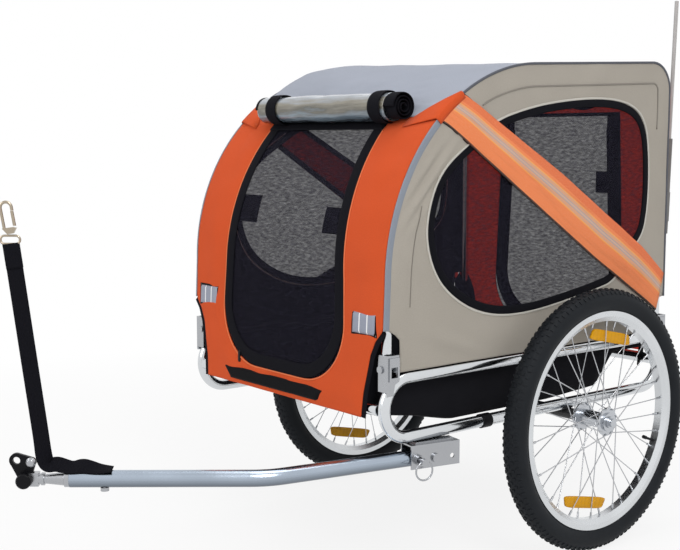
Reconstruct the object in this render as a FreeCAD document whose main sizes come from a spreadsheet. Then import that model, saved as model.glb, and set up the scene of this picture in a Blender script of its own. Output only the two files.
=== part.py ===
import FreeCAD, Part
import math
import os
import Sketcher

V = FreeCAD.Vector
doc = FreeCAD.newDocument("dog_bike_trailer")
sheet = doc.addObject("Spreadsheet::Sheet", "sizes")
nodes = {}
known = {}


class Size:
    """A number together with the sheet expression that gives it."""

    def __init__(self, text, value):
        self.text = text
        self.value = value

    def __add__(self, other):
        other = size(other)
        return Size("(%s + %s)" % (self.text, other.text), self.value + other.value)

    def __radd__(self, other):
        return size(other) + self

    def __sub__(self, other):
        other = size(other)
        return Size("(%s - %s)" % (self.text, other.text), self.value - other.value)

    def __rsub__(self, other):
        return size(other) - self

    def __mul__(self, other):
        other = size(other)
        return Size("(%s * %s)" % (self.text, other.text), self.value * other.value)

    def __rmul__(self, other):
        return size(other) * self

    def __truediv__(self, other):
        other = size(other)
        return Size("(%s / %s)" % (self.text, other.text), self.value / other.value)

    def __neg__(self):
        return Size("(0 - %s)" % self.text, -self.value)


def size(value):
    if isinstance(value, Size):
        return value
    return Size("(%r)" % float(value), float(value))


def root(value):
    return Size("sqrt(%s)" % value.text, math.sqrt(value.value))


def sine(angle):
    return Size("sin(%s)" % angle.text, math.sin(math.radians(angle.value)))


def cosine(angle):
    return Size("cos(%s)" % angle.text, math.cos(math.radians(angle.value)))


def tangent(angle):
    return Size("tan(%s)" % angle.text, math.tan(math.radians(angle.value)))


def cell(name, value):
    """Put one named number into the sheet and hand it back as a Size."""
    row = len(known) + 1
    sheet.set("A%d" % row, name)
    sheet.set("B%d" % row, str(value))
    sheet.setAlias("B%d" % row, name)
    known[name] = Size("sizes.%s" % name, float(value))
    return known[name]


# Sizes in millimetres and degrees, x forward from the axle, y to the left, z up from the ground
axle_x = cell("axle_x", -343.18)
wheel_radius = cell("wheel_radius", 250)
wheel_y = cell("wheel_y", 350)
tyre_half = cell("tyre_half", 22)
tyre_wall = cell("tyre_wall", 3.5)
bead_half = cell("bead_half", 12.4)
bead_wall = cell("bead_wall", 3)
bead_foot = cell("bead_foot", 200)
tube_half = cell("tube_half", 18.1)
tube_wall = cell("tube_wall", 1)
rim_half = cell("rim_half", 14.6)
rim_wall = cell("rim_wall", 1.8)
rim_flange = cell("rim_flange", 209.5)
rim_seat = cell("rim_seat", 199.5)
rim_inner = cell("rim_inner", 190)
rim_well = cell("rim_well", 8)
hub_offset = cell("hub_offset", -7)
hub_half = cell("hub_half", 36)
flange_gap = cell("flange_gap", 29)
flange_half = cell("flange_half", 1.25)
flange_radius = cell("flange_radius", 27)
hub_radius = cell("hub_radius", 15)
hub_bore = cell("hub_bore", 6.05)
spoke_count = cell("spoke_count", 36)
spoke_radius = cell("spoke_radius", 1)
spoke_circle = cell("spoke_circle", 24)
spoke_lead = cell("spoke_lead", 60)
nipple_radius = cell("nipple_radius", 2)
nipple_length = cell("nipple_length", 11)
reflector_length = cell("reflector_length", 116)
reflector_height = cell("reflector_height", 22)
reflector_half = cell("reflector_half", 2.6)
reflector_shift = cell("reflector_shift", -0.6)
reflector_radius = cell("reflector_radius", 148)
reflector_turn = cell("reflector_turn", 12)
axle_radius = cell("axle_radius", 6)
beam_radius = cell("beam_radius", 11)
beam_half = cell("beam_half", 304)
rail_y = cell("rail_y", 282)
rail_radius = cell("rail_radius", 11)
rail_wall = cell("rail_wall", 1.6)
bend_radius = cell("bend_radius", 52)
bend_x = cell("bend_x", 428)
middle_x = cell("middle_x", 102.5)
sleeve_x = cell("sleeve_x", 238.5)
sleeve_half = cell("sleeve_half", 11)
tub_wall = cell("tub_wall", 2)
tub_bottom = cell("tub_bottom", 296)
tub_step = cell("tub_step", 347)
ramp_front = cell("ramp_front", -90)
ramp_rear = cell("ramp_rear", -150)
hoop_y = cell("hoop_y", 278)
hoop_radius = cell("hoop_radius", 9.5)
hoop_wall = cell("hoop_wall", 1.5)
leg_x = cell("leg_x", 472)
hinge_z = cell("hinge_z", 395)
foot_drop = cell("foot_drop", 9)
pin_radius = cell("pin_radius", 4)
arc_z = cell("arc_z", 541)
arc_radius = cell("arc_radius", 377)
roof_slope = cell("roof_slope", 2.46)
corner_radius = cell("corner_radius", 55)
cover_gap = cell("cover_gap", 13)
cloth = cell("cloth", 2.5)
lean_foot = cell("lean_foot", 9.6)
front_bottom = cell("front_bottom", 308)
seam_angle = cell("seam_angle", 51)
side_bottom = cell("side_bottom", 388)
door_half = cell("door_half", 185)
door_top_half = cell("door_top_half", 168)
door_bottom = cell("door_bottom", 350)
door_top = cell("door_top", 800)
door_corner = cell("door_corner", 110)
door_gap = cell("door_gap", 0.5)
window_x = cell("window_x", 88)
window_z = cell("window_z", 660)
window_length = cell("window_length", 609)
window_height = cell("window_height", 392)
plate = cell("plate", 2.5)
bracket_front = cell("bracket_front", 485)
bracket_rear = cell("bracket_rear", 459)
bracket_top = cell("bracket_top", 420)
bracket_bottom = cell("bracket_bottom", 357)
bracket_inner = cell("bracket_inner", 271.5)
roll_radius = cell("roll_radius", 27)
rear_roll_radius = cell("rear_roll_radius", 14)
roll_half = cell("roll_half", 205)
roll_shift = cell("roll_shift", 17)
rear_roll_half = cell("rear_roll_half", 225)
rear_roll_drop = cell("rear_roll_drop", 25)
roll_angle = cell("roll_angle", 47)
strap_gap = cell("strap_gap", 153)
patch_y = cell("patch_y", 240)
patch_z = cell("patch_z", 470)
pivot_x = cell("pivot_x", 378)
pivot_y = cell("pivot_y", 288)
pivot_z = cell("pivot_z", 232)
tow_yaw = cell("tow_yaw", 11.7)
tow_bend = cell("tow_bend", 27)
tow_corner = cell("tow_corner", 309)
tow_bend_radius = cell("tow_bend_radius", 120)
tow_end = cell("tow_end", 322)
tow_radius = cell("tow_radius", 14)
tow_wall = cell("tow_wall", 2)
tow_stub = cell("tow_stub", 17)
channel_half = cell("channel_half", 18)
channel_front = cell("channel_front", 49)
channel_rear = cell("channel_rear", 49)
channel_top = cell("channel_top", 26)
channel_bottom = cell("channel_bottom", 16)
hole_gap = cell("hole_gap", 34)
tongue_pin = cell("tongue_pin", 72)
tongue_hole_x = cell("tongue_hole_x", 85.5)
tongue_hole_z = cell("tongue_hole_z", 31)
tongue_hole = cell("tongue_hole", 6)
tongue_half = cell("tongue_half", 3)
webbing = cell("webbing", 28)
strap_foot = cell("strap_foot", 27)
strap_top = cell("strap_top", 381)
strap_lean = cell("strap_lean", 45.3)
ring_wire = cell("ring_wire", 1.9)
ring_half = cell("ring_half", 9)
ring_bend = cell("ring_bend", 6.5)
hook_half = cell("hook_half", 8.8)
hook_length = cell("hook_length", 34)
hook_wire = cell("hook_wire", 2.5)
hook_lean = cell("hook_lean", 9.3)
pole_radius = cell("pole_radius", 4)
pole_length = cell("pole_length", 470)
pole_lean = cell("pole_lean", 2.3)
doc.recompute()

axle_z = wheel_radius
lower_z = axle_z + beam_radius + rail_radius
upper_z = lower_z + 2 * bend_radius
mid_z = lower_z + bend_radius
rear_bend_x = 2 * middle_x - bend_x
rear_leg_x = 2 * middle_x - leg_x
front_face = leg_x + cover_gap
rear_face = rear_leg_x - cover_gap
arc_x = front_face - arc_radius
side_y = hoop_y + hoop_radius + 0.3


def bind(obj, prop, value):
    obj.setExpression(prop, size(value).text)


def place(obj, x, y, z, axis=None, angle=0):
    """Put an object at a point given by sheet expressions, turned about an axis."""
    at = [size(x), size(y), size(z)]
    turn = FreeCAD.Rotation()
    if axis is not None:
        turn = FreeCAD.Rotation(axis, size(angle).value)
    obj.Placement = FreeCAD.Placement(V(at[0].value, at[1].value, at[2].value), turn)
    for letter, value in zip("xyz", at):
        bind(obj, "Placement.Base.%s" % letter, value)
    if isinstance(angle, Size):
        bind(obj, "Placement.Rotation.Angle", angle)


def keep(label, obj):
    """Remember an object as a node of the assembly."""
    obj.Label = label
    nodes[label] = obj
    return obj


def new_body(label, x=axle_x, y=0, z=0, axis=None, angle=0):
    body = doc.addObject("PartDesign::Body", label)
    place(body, x, y, z, axis, angle)
    return body


def new_sketch(body, plane, offset=0):
    sketch = body.newObject("Sketcher::SketchObject", "Sketch")
    support = [f for f in body.Origin.OriginFeatures if f.Role == plane][0]
    sketch.AttachmentSupport = [(support, "")]
    sketch.MapMode = "FlatFace"
    sketch.AttachmentOffset = FreeCAD.Placement(V(0, 0, size(offset).value), FreeCAD.Rotation())
    bind(sketch, "AttachmentOffset.Base.z", offset)
    return sketch


def hold(sketch, geometry, position, kind, value):
    """Fix one coordinate of a sketch point to a sheet expression."""
    value = size(value)
    if value.text == size(0).text:
        axis = -2 if kind == "DistanceX" else -1
        sketch.addConstraint(Sketcher.Constraint("PointOnObject", geometry, position, axis))
        return
    index = sketch.addConstraint(Sketcher.Constraint(kind, -1, 1, geometry, position, value.value))
    sketch.setExpression("Constraints[%d]" % index, value.text)


def outline(sketch, points, arcs=None, closed=True):
    """Draw a chain of lines and arcs; arcs maps a point's number to (centre u, centre v, held, turn)."""
    arcs = arcs or {}
    points = [(size(u), size(v)) for u, v in points]
    total = len(points)
    count = total if closed else total - 1
    ends = []
    for i in range(count):
        start = V(points[i][0].value, points[i][1].value, 0)
        stop = V(points[(i + 1) % total][0].value, points[(i + 1) % total][1].value, 0)
        if i in arcs:
            cu, cv, held, turn = arcs[i]
            centre = V(size(cu).value, size(cv).value, 0)
            first = math.atan2(start.y - centre.y, start.x - centre.x)
            last = math.atan2(stop.y - centre.y, stop.x - centre.x)
            ring = Part.Circle(centre, V(0, 0, 1), (start - centre).Length)
            if turn > 0:
                index = sketch.addGeometry(Part.ArcOfCircle(ring, first, last))
                ends.append((index, 1, 2))
            else:
                index = sketch.addGeometry(Part.ArcOfCircle(ring, last, first))
                ends.append((index, 2, 1))
        else:
            index = sketch.addGeometry(Part.LineSegment(start, stop))
            ends.append((index, 1, 2))
    for i in range(count):
        index, begin, end = ends[i]
        if closed or i + 1 < count:
            following, after, _ = ends[(i + 1) % count]
            sketch.addConstraint(Sketcher.Constraint("Coincident", index, end, following, after))
        hold(sketch, index, begin, "DistanceX", points[i][0])
        hold(sketch, index, begin, "DistanceY", points[i][1])
    if not closed:
        index, begin, end = ends[-1]
        hold(sketch, index, end, "DistanceX", points[-1][0])
        hold(sketch, index, end, "DistanceY", points[-1][1])
    for i, (cu, cv, held, turn) in arcs.items():
        if held == "u":
            hold(sketch, ends[i][0], 3, "DistanceX", cu)
        else:
            hold(sketch, ends[i][0], 3, "DistanceY", cv)


def rectangle(sketch, u0, v0, u1, v1):
    outline(sketch, [(u0, v0), (u1, v0), (u1, v1), (u0, v1)])


def circle(sketch, u, v, radius):
    centre = V(size(u).value, size(v).value, 0)
    index = sketch.addGeometry(Part.Circle(centre, V(0, 0, 1), size(radius).value))
    hold(sketch, index, 3, "DistanceX", u)
    hold(sketch, index, 3, "DistanceY", v)
    number = sketch.addConstraint(Sketcher.Constraint("Radius", index, size(radius).value))
    sketch.setExpression("Constraints[%d]" % number, size(radius).text)


def pad(body, sketch, length, both=False):
    feature = body.newObject("PartDesign::Pad", "Pad")
    feature.Profile = sketch
    feature.Length = size(length).value
    bind(feature, "Length", length)
    if both:
        feature.SideType = "Symmetric"
    sketch.Visibility = False
    return feature


def pocket(body, sketch):
    """Cut the sketch through everything, both ways."""
    feature = body.newObject("PartDesign::Pocket", "Pocket")
    feature.Profile = sketch
    feature.Type = "ThroughAll"
    feature.SideType = "Symmetric"
    sketch.Visibility = False
    return feature


def turned(label, points, plane="YZ_Plane", arcs=None, **where):
    """A body turned about the sketch's horizontal axis, points as (along, radius)."""
    body = new_body(label, **where)
    sketch = new_sketch(body, plane)
    outline(sketch, points, arcs)
    feature = body.newObject("PartDesign::Revolution", "Revolution")
    feature.Profile = sketch
    feature.ReferenceAxis = (sketch, ["H_Axis"])
    feature.Angle = 360
    return body


def bent_tube(label, plane, offset, points, arcs, profile_plane, profile_at, centre, outer, inner, **where):
    """A tube swept along lines and arcs that lie in one plane."""
    body = new_body(label, **where)
    path = new_sketch(body, plane, offset)
    outline(path, points, arcs, closed=False)
    profile = new_sketch(body, profile_plane, profile_at)
    circle(profile, centre[0], centre[1], outer)
    circle(profile, centre[0], centre[1], inner)
    feature = body.newObject("PartDesign::AdditivePipe", "Pipe")
    feature.Profile = profile
    feature.Spine = (path, [])
    return body


def mirror(label, source):
    """The same piece on the other side of the trailer's middle plane."""
    copy = doc.addObject("Part::Mirroring", label)
    copy.Source = source
    copy.Normal = V(0, 1, 0)
    return copy


def swap_ends(label, source):
    """The same piece turned front to back about the middle of the side loop."""
    copy = doc.addObject("Part::Mirroring", label)
    copy.Source = source
    copy.Normal = V(1, 0, 0)
    bind(copy, "Base.x", axle_x + middle_x)
    return copy


def group(label, members):
    """Several solids that make one node."""
    whole = doc.addObject("Part::Compound", label)
    whole.Links = members
    return whole


# Wheels: tyre, inner tube, rim, hub, spokes and reflectors about the wheel's own axis
hub_place = dict(x=axle_x, y=wheel_y, z=axle_z)
tyre_circle = wheel_radius - tyre_half
bead_in = bead_half - bead_wall
bead_out_z = tyre_circle - root(tyre_half * tyre_half - bead_half * bead_half)
tyre_in = tyre_half - tyre_wall
bead_in_z = tyre_circle - root(tyre_in * tyre_in - bead_in * bead_in)
tyre_points = [(bead_half, bead_out_z), (-bead_half, bead_out_z), (-bead_half, bead_foot),
               (-bead_in, bead_foot), (-bead_in, bead_in_z), (bead_in, bead_in_z),
               (bead_in, bead_foot), (bead_half, bead_foot)]
tyre_arcs = {0: (0, tyre_circle, "v", 1), 4: (0, tyre_circle, "v", -1)}
tyre = keep("left_tyre", turned("left_tyre", tyre_points, arcs=tyre_arcs, **hub_place))

inner_tube = new_body("left_inner_tube", **hub_place)
ring = new_sketch(inner_tube, "YZ_Plane")
circle(ring, 0, tyre_circle, tube_half)
circle(ring, 0, tyre_circle, tube_half - tube_wall)
spin = inner_tube.newObject("PartDesign::Revolution", "Revolution")
spin.Profile = ring
spin.ReferenceAxis = (ring, ["H_Axis"])
spin.Angle = 360
keep("left_inner_tube", inner_tube)

seat_half = rim_half - rim_wall
rim_side = rim_seat - 0.5
rim_points = [(rim_half, rim_flange), (seat_half, rim_flange), (seat_half, rim_seat),
              (rim_well - 1, rim_inner + 2), (1 - rim_well, rim_inner + 2), (-seat_half, rim_seat),
              (-seat_half, rim_flange), (-rim_half, rim_flange), (-rim_half, rim_side),
              (-rim_well, rim_inner), (rim_well, rim_inner), (rim_half, rim_side)]
rim = keep("left_rim", turned("left_rim", rim_points, **hub_place))

inner_flange = hub_offset - flange_gap
outer_flange = hub_offset + flange_gap
cap = hub_radius + 3
hub_points = [(hub_offset - hub_half, hub_bore), (hub_offset - hub_half, cap),
              (inner_flange - flange_half - 1, cap), (inner_flange - flange_half, flange_radius),
              (inner_flange + flange_half, flange_radius), (inner_flange + flange_half + 1, hub_radius),
              (outer_flange - flange_half - 1, hub_radius), (outer_flange - flange_half, flange_radius),
              (outer_flange + flange_half, flange_radius), (outer_flange + flange_half + 1, cap),
              (hub_offset + hub_half, cap), (hub_offset + hub_half, hub_bore)]
hub = keep("left_hub", turned("left_hub", hub_points, **hub_place))


def laced_spokes():
    """Three-cross spokes with their nipples, one solid for each spoke."""
    solids = []
    count = int(spoke_count.value)
    step = 360.0 / count
    lean = flange_half.value + spoke_radius.value + 0.8
    reach = rim_inner.value - 0.3
    for number in range(count):
        flange = 1 if number % 2 else -1
        place_on_flange = number // 2
        trailing = place_on_flange % 2 == 0
        rim_turn = math.radians(number * step + step / 2)
        lead = math.radians(spoke_lead.value) * (-1 if trailing else 1)
        side = flange if trailing else -flange
        depth = lean + (0.7 if side == flange else 0)
        hub_y = hub_offset.value + flange * flange_gap.value + side * depth
        start = V(spoke_circle.value * math.cos(rim_turn + lead), hub_y,
                  spoke_circle.value * math.sin(rim_turn + lead))
        stop = V(reach * math.cos(rim_turn), 2.5 * flange, reach * math.sin(rim_turn))
        way = (stop - start).normalize()
        long = (stop - start).Length - nipple_length.value
        joint = start + way * long
        wire = Part.makeCylinder(spoke_radius.value, long + 2, start, way)
        nipple = Part.makeCylinder(nipple_radius.value, nipple_length.value - 0.6, joint, way)
        solids.append(wire.fuse(nipple).removeSplitter())
    return Part.makeCompound(solids)


spokes = doc.addObject("Part::Feature", "left_spokes")
spokes.Shape = laced_spokes()
place(spokes, axle_x, wheel_y, axle_z)
keep("left_spokes", spokes)

plates = []
for number, sign in enumerate((1, -1)):
    box = doc.addObject("Part::Box", "reflector_%d" % number)
    bind(box, "Length", reflector_length)
    bind(box, "Width", 2 * reflector_half)
    bind(box, "Height", reflector_height)
    low = reflector_radius if sign > 0 else -reflector_radius - reflector_height
    at_x = axle_x - reflector_length / 2 * cosine(reflector_turn) - low * sine(reflector_turn)
    at_z = axle_z - reflector_length / 2 * sine(reflector_turn) + low * cosine(reflector_turn)
    place(box, at_x, wheel_y + reflector_shift - reflector_half, at_z, V(0, -1, 0), reflector_turn)
    plates.append(box)
reflectors = keep("left_reflectors", group("left_reflectors", plates))

for name in ("tyre", "inner_tube", "rim", "hub", "spokes", "reflectors"):
    keep("right_" + name, mirror("right_" + name, nodes["left_" + name]))

# Axles and the beam that carries them
hub_in = wheel_y + hub_offset - hub_half
hub_out = wheel_y + hub_offset + hub_half
beam_in = beam_half - 42
axle_points = [(beam_in + 0.5, 0), (beam_in + 0.5, axle_radius), (beam_half + 0.3, axle_radius),
               (beam_half + 0.3, axle_radius + 3), (hub_in - 0.4, axle_radius + 3),
               (hub_in - 0.4, axle_radius), (hub_out + 0.4, axle_radius), (hub_out + 0.4, axle_radius + 5),
               (hub_out + 4, axle_radius + 5), (hub_out + 4, axle_radius + 2),
               (hub_out + 9, axle_radius + 2), (hub_out + 9, 0)]
keep("left_axle", turned("left_axle", axle_points, z=axle_z))
keep("right_axle", mirror("right_axle", nodes["left_axle"]))
socket_bore = axle_radius + 0.03
beam_points = [(-beam_half, socket_bore), (-beam_half, beam_radius), (beam_half, beam_radius),
               (beam_half, socket_bore), (beam_in, socket_bore), (beam_in, beam_radius - 2),
               (-beam_in, beam_radius - 2), (-beam_in, socket_bore)]
keep("axle_beam", turned("axle_beam", beam_points, z=axle_z))

# Side loops: one tube each, bent to a long ring whose ends meet in a sleeve
loop_points = [(sleeve_x + 0.25, lower_z), (bend_x, lower_z), (bend_x, upper_z),
               (rear_bend_x, upper_z), (rear_bend_x, lower_z), (sleeve_x - 0.25, lower_z)]
loop_arcs = {1: (bend_x, mid_z, "u", 1), 3: (rear_bend_x, mid_z, "u", 1)}
loop = bent_tube("left_side_loop", "XZ_Plane", -rail_y, loop_points, loop_arcs, "YZ_Plane", sleeve_x + 0.25,
                 (rail_y, lower_z), rail_radius, rail_radius - rail_wall)
keep("left_side_loop", loop)
keep("right_side_loop", mirror("right_side_loop", loop))
sleeve_points = [(-sleeve_half, rail_radius + 0.1), (sleeve_half, rail_radius + 0.1),
                 (sleeve_half, rail_radius + 2), (-sleeve_half, rail_radius + 2)]
left_sleeve = turned("left_sleeve", sleeve_points, plane="XZ_Plane", x=axle_x + sleeve_x, y=rail_y, z=lower_z)
keep("rail_sleeves", group("rail_sleeves", [left_sleeve, mirror("right_sleeve", left_sleeve)]))
cross_half = rail_y - rail_radius - 0.1
cross_points = [(-cross_half, rail_radius - rail_wall), (cross_half, rail_radius - rail_wall),
                (cross_half, rail_radius), (-cross_half, rail_radius)]
for name, at in (("front_cross_tube", bend_x + bend_radius), ("rear_cross_tube", rear_bend_x - bend_radius)):
    keep(name, turned(name, cross_points, x=axle_x + at, z=mid_z))

# Floor tub hung between the upper rails, with the raised step at the rear
tub_half = cross_half - 0.2
tub_front = bend_x + bend_radius - rail_radius - 0.3
tub_rear = rear_bend_x - bend_radius + rail_radius + 0.3
tub = new_body("floor_tub")
shell = new_sketch(tub, "XZ_Plane")
outline(shell, [(tub_front, tub_bottom), (tub_front, upper_z), (tub_rear, upper_z), (tub_rear, tub_step),
                (ramp_rear, tub_step), (ramp_front, tub_bottom)])
pad(tub, shell, 2 * tub_half, both=True)
room = new_sketch(tub, "XZ_Plane", tub_wall - tub_half)
outline(room, [(tub_front - tub_wall, tub_bottom + tub_wall), (tub_front - tub_wall, upper_z + 5),
               (tub_rear + tub_wall, upper_z + 5), (tub_rear + tub_wall, tub_step + tub_wall),
               (ramp_rear + 0.7, tub_step + tub_wall), (ramp_front + 0.7, tub_bottom + tub_wall)])
scoop = tub.newObject("PartDesign::Pocket", "Pocket")
scoop.Profile = room
scoop.Reversed = True
scoop.Length = 2 * (tub_half.value - tub_wall.value)
bind(scoop, "Length", 2 * (tub_half - tub_wall))
low_end = new_sketch(tub, "XZ_Plane")
rectangle(low_end, tub_rear - 1, tub_step + 9, tub_rear + tub_wall, upper_z + 5)
pocket(tub, low_end)
keep("floor_tub", tub)

# Hinge brackets: a web outside the loop, two flanges for the hinge pin and a raised latch frame
web_out = rail_y + rail_radius + 0.3 + plate
bracket = new_body("front_left_bracket")
web = new_sketch(bracket, "XZ_Plane", -web_out)
outline(web, [(bracket_rear, bracket_top - 46), (bracket_rear + 9, bracket_bottom + 13),
              (bracket_front - 13, bracket_bottom - 6), (bracket_front, bracket_bottom - 6),
              (bracket_front, bracket_top), (bracket_rear, bracket_top)])
pad(bracket, web, plate)
flange = new_sketch(bracket, "YZ_Plane", bracket_front - plate)
rectangle(flange, bracket_inner, bracket_bottom, web_out, bracket_top)
pad(bracket, flange, plate)
flange = new_sketch(bracket, "YZ_Plane", bracket_rear)
rectangle(flange, bracket_inner, bracket_top - 31, web_out, bracket_top)
pad(bracket, flange, plate)
latch = new_sketch(bracket, "XZ_Plane", -web_out - 2)
rectangle(latch, bracket_rear + 0.5, bracket_top - 44, bracket_rear + 23, bracket_top - 4)
pad(bracket, latch, 2)
gap = new_sketch(bracket, "XZ_Plane")
rectangle(gap, bracket_rear + 5, bracket_top - 38, bracket_rear + 19, bracket_top - 20)
pocket(bracket, gap)
bore = new_sketch(bracket, "YZ_Plane")
circle(bore, hoop_y, hinge_z, pin_radius + 0.05)
pocket(bracket, bore)
keep("front_left_bracket", bracket)
keep("front_right_bracket", mirror("front_right_bracket", bracket))
keep("rear_left_bracket", swap_ends("rear_left_bracket", bracket))
keep("rear_right_bracket", mirror("rear_right_bracket", nodes["rear_left_bracket"]))

pin_points = [(bracket_rear - 3, 0), (bracket_rear - 3, pin_radius + 2.5),
              (bracket_rear - 0.2, pin_radius + 2.5), (bracket_rear - 0.2, pin_radius),
              (bracket_front + 0.2, pin_radius), (bracket_front + 0.2, pin_radius + 2.5),
              (bracket_front + 3, pin_radius + 2.5), (bracket_front + 3, 0)]
front_pin = turned("front_pin", pin_points, plane="XZ_Plane", y=hoop_y, z=hinge_z)
rear_pin = swap_ends("rear_pin", front_pin)
pins = [front_pin, rear_pin, mirror("front_right_pin", front_pin), mirror("rear_right_pin", rear_pin)]
keep("hinge_pins", group("hinge_pins", pins))

# Side hoops that fold inward on the hinge pins
hoop_arc = arc_radius - cover_gap
hoop_corner = corner_radius - cover_gap
up = cosine(roof_slope)
along = sine(roof_slope)
corner_x = rear_leg_x + hoop_corner
corner_z = arc_z + (hoop_arc - hoop_corner + along * (arc_x - corner_x)) / up
foot_z = hinge_z - foot_drop
hoop_points = [(leg_x, foot_z), (leg_x, arc_z), (arc_x + hoop_arc * along, arc_z + hoop_arc * up),
               (corner_x + hoop_corner * along, corner_z + hoop_corner * up), (rear_leg_x, corner_z),
               (rear_leg_x, foot_z)]
hoop_arcs = {1: (arc_x, arc_z, "u", 1), 3: (corner_x, corner_z, "u", 1)}
hoop = bent_tube("left_hoop", "XZ_Plane", -hoop_y, hoop_points, hoop_arcs, "XY_Plane", foot_z,
                 (leg_x, hoop_y), hoop_radius, hoop_radius - hoop_wall)
bore = new_sketch(hoop, "YZ_Plane")
circle(bore, hoop_y, hinge_z, pin_radius + 0.08)
pocket(hoop, bore)
keep("left_hoop", hoop)
keep("right_hoop", mirror("right_hoop", hoop))

# Side panels with their window, window mesh and diagonal strap
lean = lean_foot / (arc_z - front_bottom)
lean_angle = Size("atan(%s)" % lean.text, math.degrees(math.atan(lean.value)))
cut_z = bracket_top + 38
side_points = [(front_face + lean * (arc_z - cut_z), cut_z), (front_face, arc_z),
               (arc_x + arc_radius * along, arc_z + arc_radius * up),
               (corner_x + corner_radius * along, corner_z + corner_radius * up), (rear_face, corner_z),
               (rear_face, cut_z), (2 * middle_x - bracket_rear + 9, cut_z),
               (2 * middle_x - bracket_rear + 9, side_bottom), (bracket_rear - 7, side_bottom),
               (bracket_rear - 7, cut_z - 15), (bracket_rear + 9, cut_z)]
side_arcs = {1: (arc_x, arc_z, "u", 1), 3: (corner_x, corner_z, "u", 1)}
side = new_body("left_side_panel")
face = new_sketch(side, "XZ_Plane", -side_y - cloth)
outline(face, side_points, side_arcs)
pad(side, face, cloth)
window_shape = [(0.228, 0.385), (0.128, 0.431), (-0.005, 0.472), (-0.192, 0.5), (-0.34, 0.495),
                (-0.43, 0.454), (-0.475, 0.38), (-0.494, 0.253), (-0.5, 0.048), (-0.489, -0.107),
                (-0.47, -0.181), (-0.424, -0.245), (-0.335, -0.398), (-0.264, -0.426), (-0.071, -0.474),
                (0.067, -0.5), (0.199, -0.5), (0.305, -0.462), (0.388, -0.395), (0.447, -0.316),
                (0.483, -0.217), (0.499, -0.105), (0.489, 0.003),
                (0.463, 0.11), (0.42, 0.194), (0.346, 0.273)]


def window_points(inset):
    return [(window_x + u * (window_length - inset), window_z + v * (window_height - inset))
            for u, v in window_shape]


hole = new_sketch(side, "XZ_Plane")
outline(hole, window_points(0))
pocket(side, hole)
keep("left_side_panel", side)
mesh = new_body("left_window_mesh")
sheet_face = new_sketch(mesh, "XZ_Plane", -side_y - cloth / 2 - 0.4)
outline(sheet_face, window_points(0.5))
pad(mesh, sheet_face, 0.8)
keep("left_window_mesh", mesh)
strap = new_body("left_diagonal_strap")
band = new_sketch(strap, "XZ_Plane", -side_y - cloth - 1.8)
outline(band, [(300, 853), (53, 718), (-196, 567), (-272, 508), (-272, 420), (-253, 431), (-40, 556),
               (162, 685), (345, 803), (366, 811)])
pad(strap, band, 1.6)
keep("left_diagonal_strap", strap)
for name in ("side_panel", "window_mesh", "diagonal_strap"):
    keep("right_" + name, mirror("right_" + name, nodes["left_" + name]))

# Front, roof and rear panels as strips that follow the side outline, cut away at the hinge brackets
cover_half = side_y - 0.3


def rim_at(radius, angle):
    return arc_x + radius * cosine(angle), arc_z + radius * sine(angle)


def front_strip(sketch, low, top_angle, thick, inset=0):
    outer = arc_radius - inset
    inner = arc_radius - inset - thick
    foot = front_face - inset + lean * (arc_z - low)
    points = [(foot, low), (front_face - inset, arc_z), rim_at(outer, top_angle), rim_at(inner, top_angle),
              (front_face - inset - thick, arc_z), (foot - thick, low)]
    outline(sketch, points, {1: (arc_x, arc_z, "u", 1), 3: (arc_x, arc_z, "u", -1)})


def door_outline(sketch, inset):
    half = door_half - inset
    low = door_bottom + inset
    turn = low + door_corner
    points = [(door_corner - half, low), (half - door_corner, low), (half, turn),
              (door_top_half - inset, door_top - inset),
              (inset - door_top_half, door_top - inset), (-half, turn)]
    arcs = {1: (half - door_corner, turn, "u", 1), 5: (door_corner - half, turn, "u", 1)}
    outline(sketch, points, arcs)


corner_edge = [(bracket_inner - 29, bracket_bottom - 7), (bracket_inner - 14, bracket_top - 3),
               (bracket_inner - 2, bracket_top + 22), (cover_half - 3.5, cut_z)]
front = new_body("front_panel")
strip = new_sketch(front, "XZ_Plane")
front_strip(strip, front_bottom, seam_angle, cloth)
pad(front, strip, 2 * cover_half, both=True)
opening = new_sketch(front, "YZ_Plane")
door_outline(opening, 0)
pocket(front, opening)
for sign in (1, -1):
    notch = new_sketch(front, "YZ_Plane")
    below = front_bottom - 13
    corner = [(310, cut_z), (310, below), (bracket_inner - 34, below)] + corner_edge
    outline(notch, [(sign * u, v) for u, v in corner])
    pocket(front, notch)
keep("front_panel", front)

roof = new_body("roof_panel")
strip = new_sketch(roof, "XZ_Plane")
thin_arc = arc_radius - cloth
thin_corner = corner_radius - cloth
roof_points = [rim_at(arc_radius, seam_angle + 0.05), (arc_x + arc_radius * along, arc_z + arc_radius * up),
               (corner_x + corner_radius * along, corner_z + corner_radius * up), (rear_face, corner_z),
               (rear_face + cloth, corner_z), (corner_x + thin_corner * along, corner_z + thin_corner * up),
               (arc_x + thin_arc * along, arc_z + thin_arc * up), rim_at(thin_arc, seam_angle + 0.05)]
roof_arcs = {0: (arc_x, arc_z, "u", 1), 2: (corner_x, corner_z, "u", 1),
             4: (corner_x, corner_z, "u", -1), 6: (arc_x, arc_z, "u", -1)}
outline(strip, roof_points, roof_arcs)
pad(roof, strip, 2 * cover_half, both=True)
keep("roof_panel", roof)

rear_bottom = mid_z + rail_radius + 2
rear = new_body("rear_panel")
back = new_sketch(rear, "YZ_Plane", rear_face)
rear_edge = [(bracket_inner - 31, rear_bottom)] + corner_edge
rear_edge += [(cover_half, cut_z + 6), (cover_half, corner_z - 0.1)]
outline(back, rear_edge + [(-u, v) for u, v in reversed(rear_edge)])
door_outline(back, 0)
pad(rear, back, cloth)
keep("rear_panel", rear)

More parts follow.
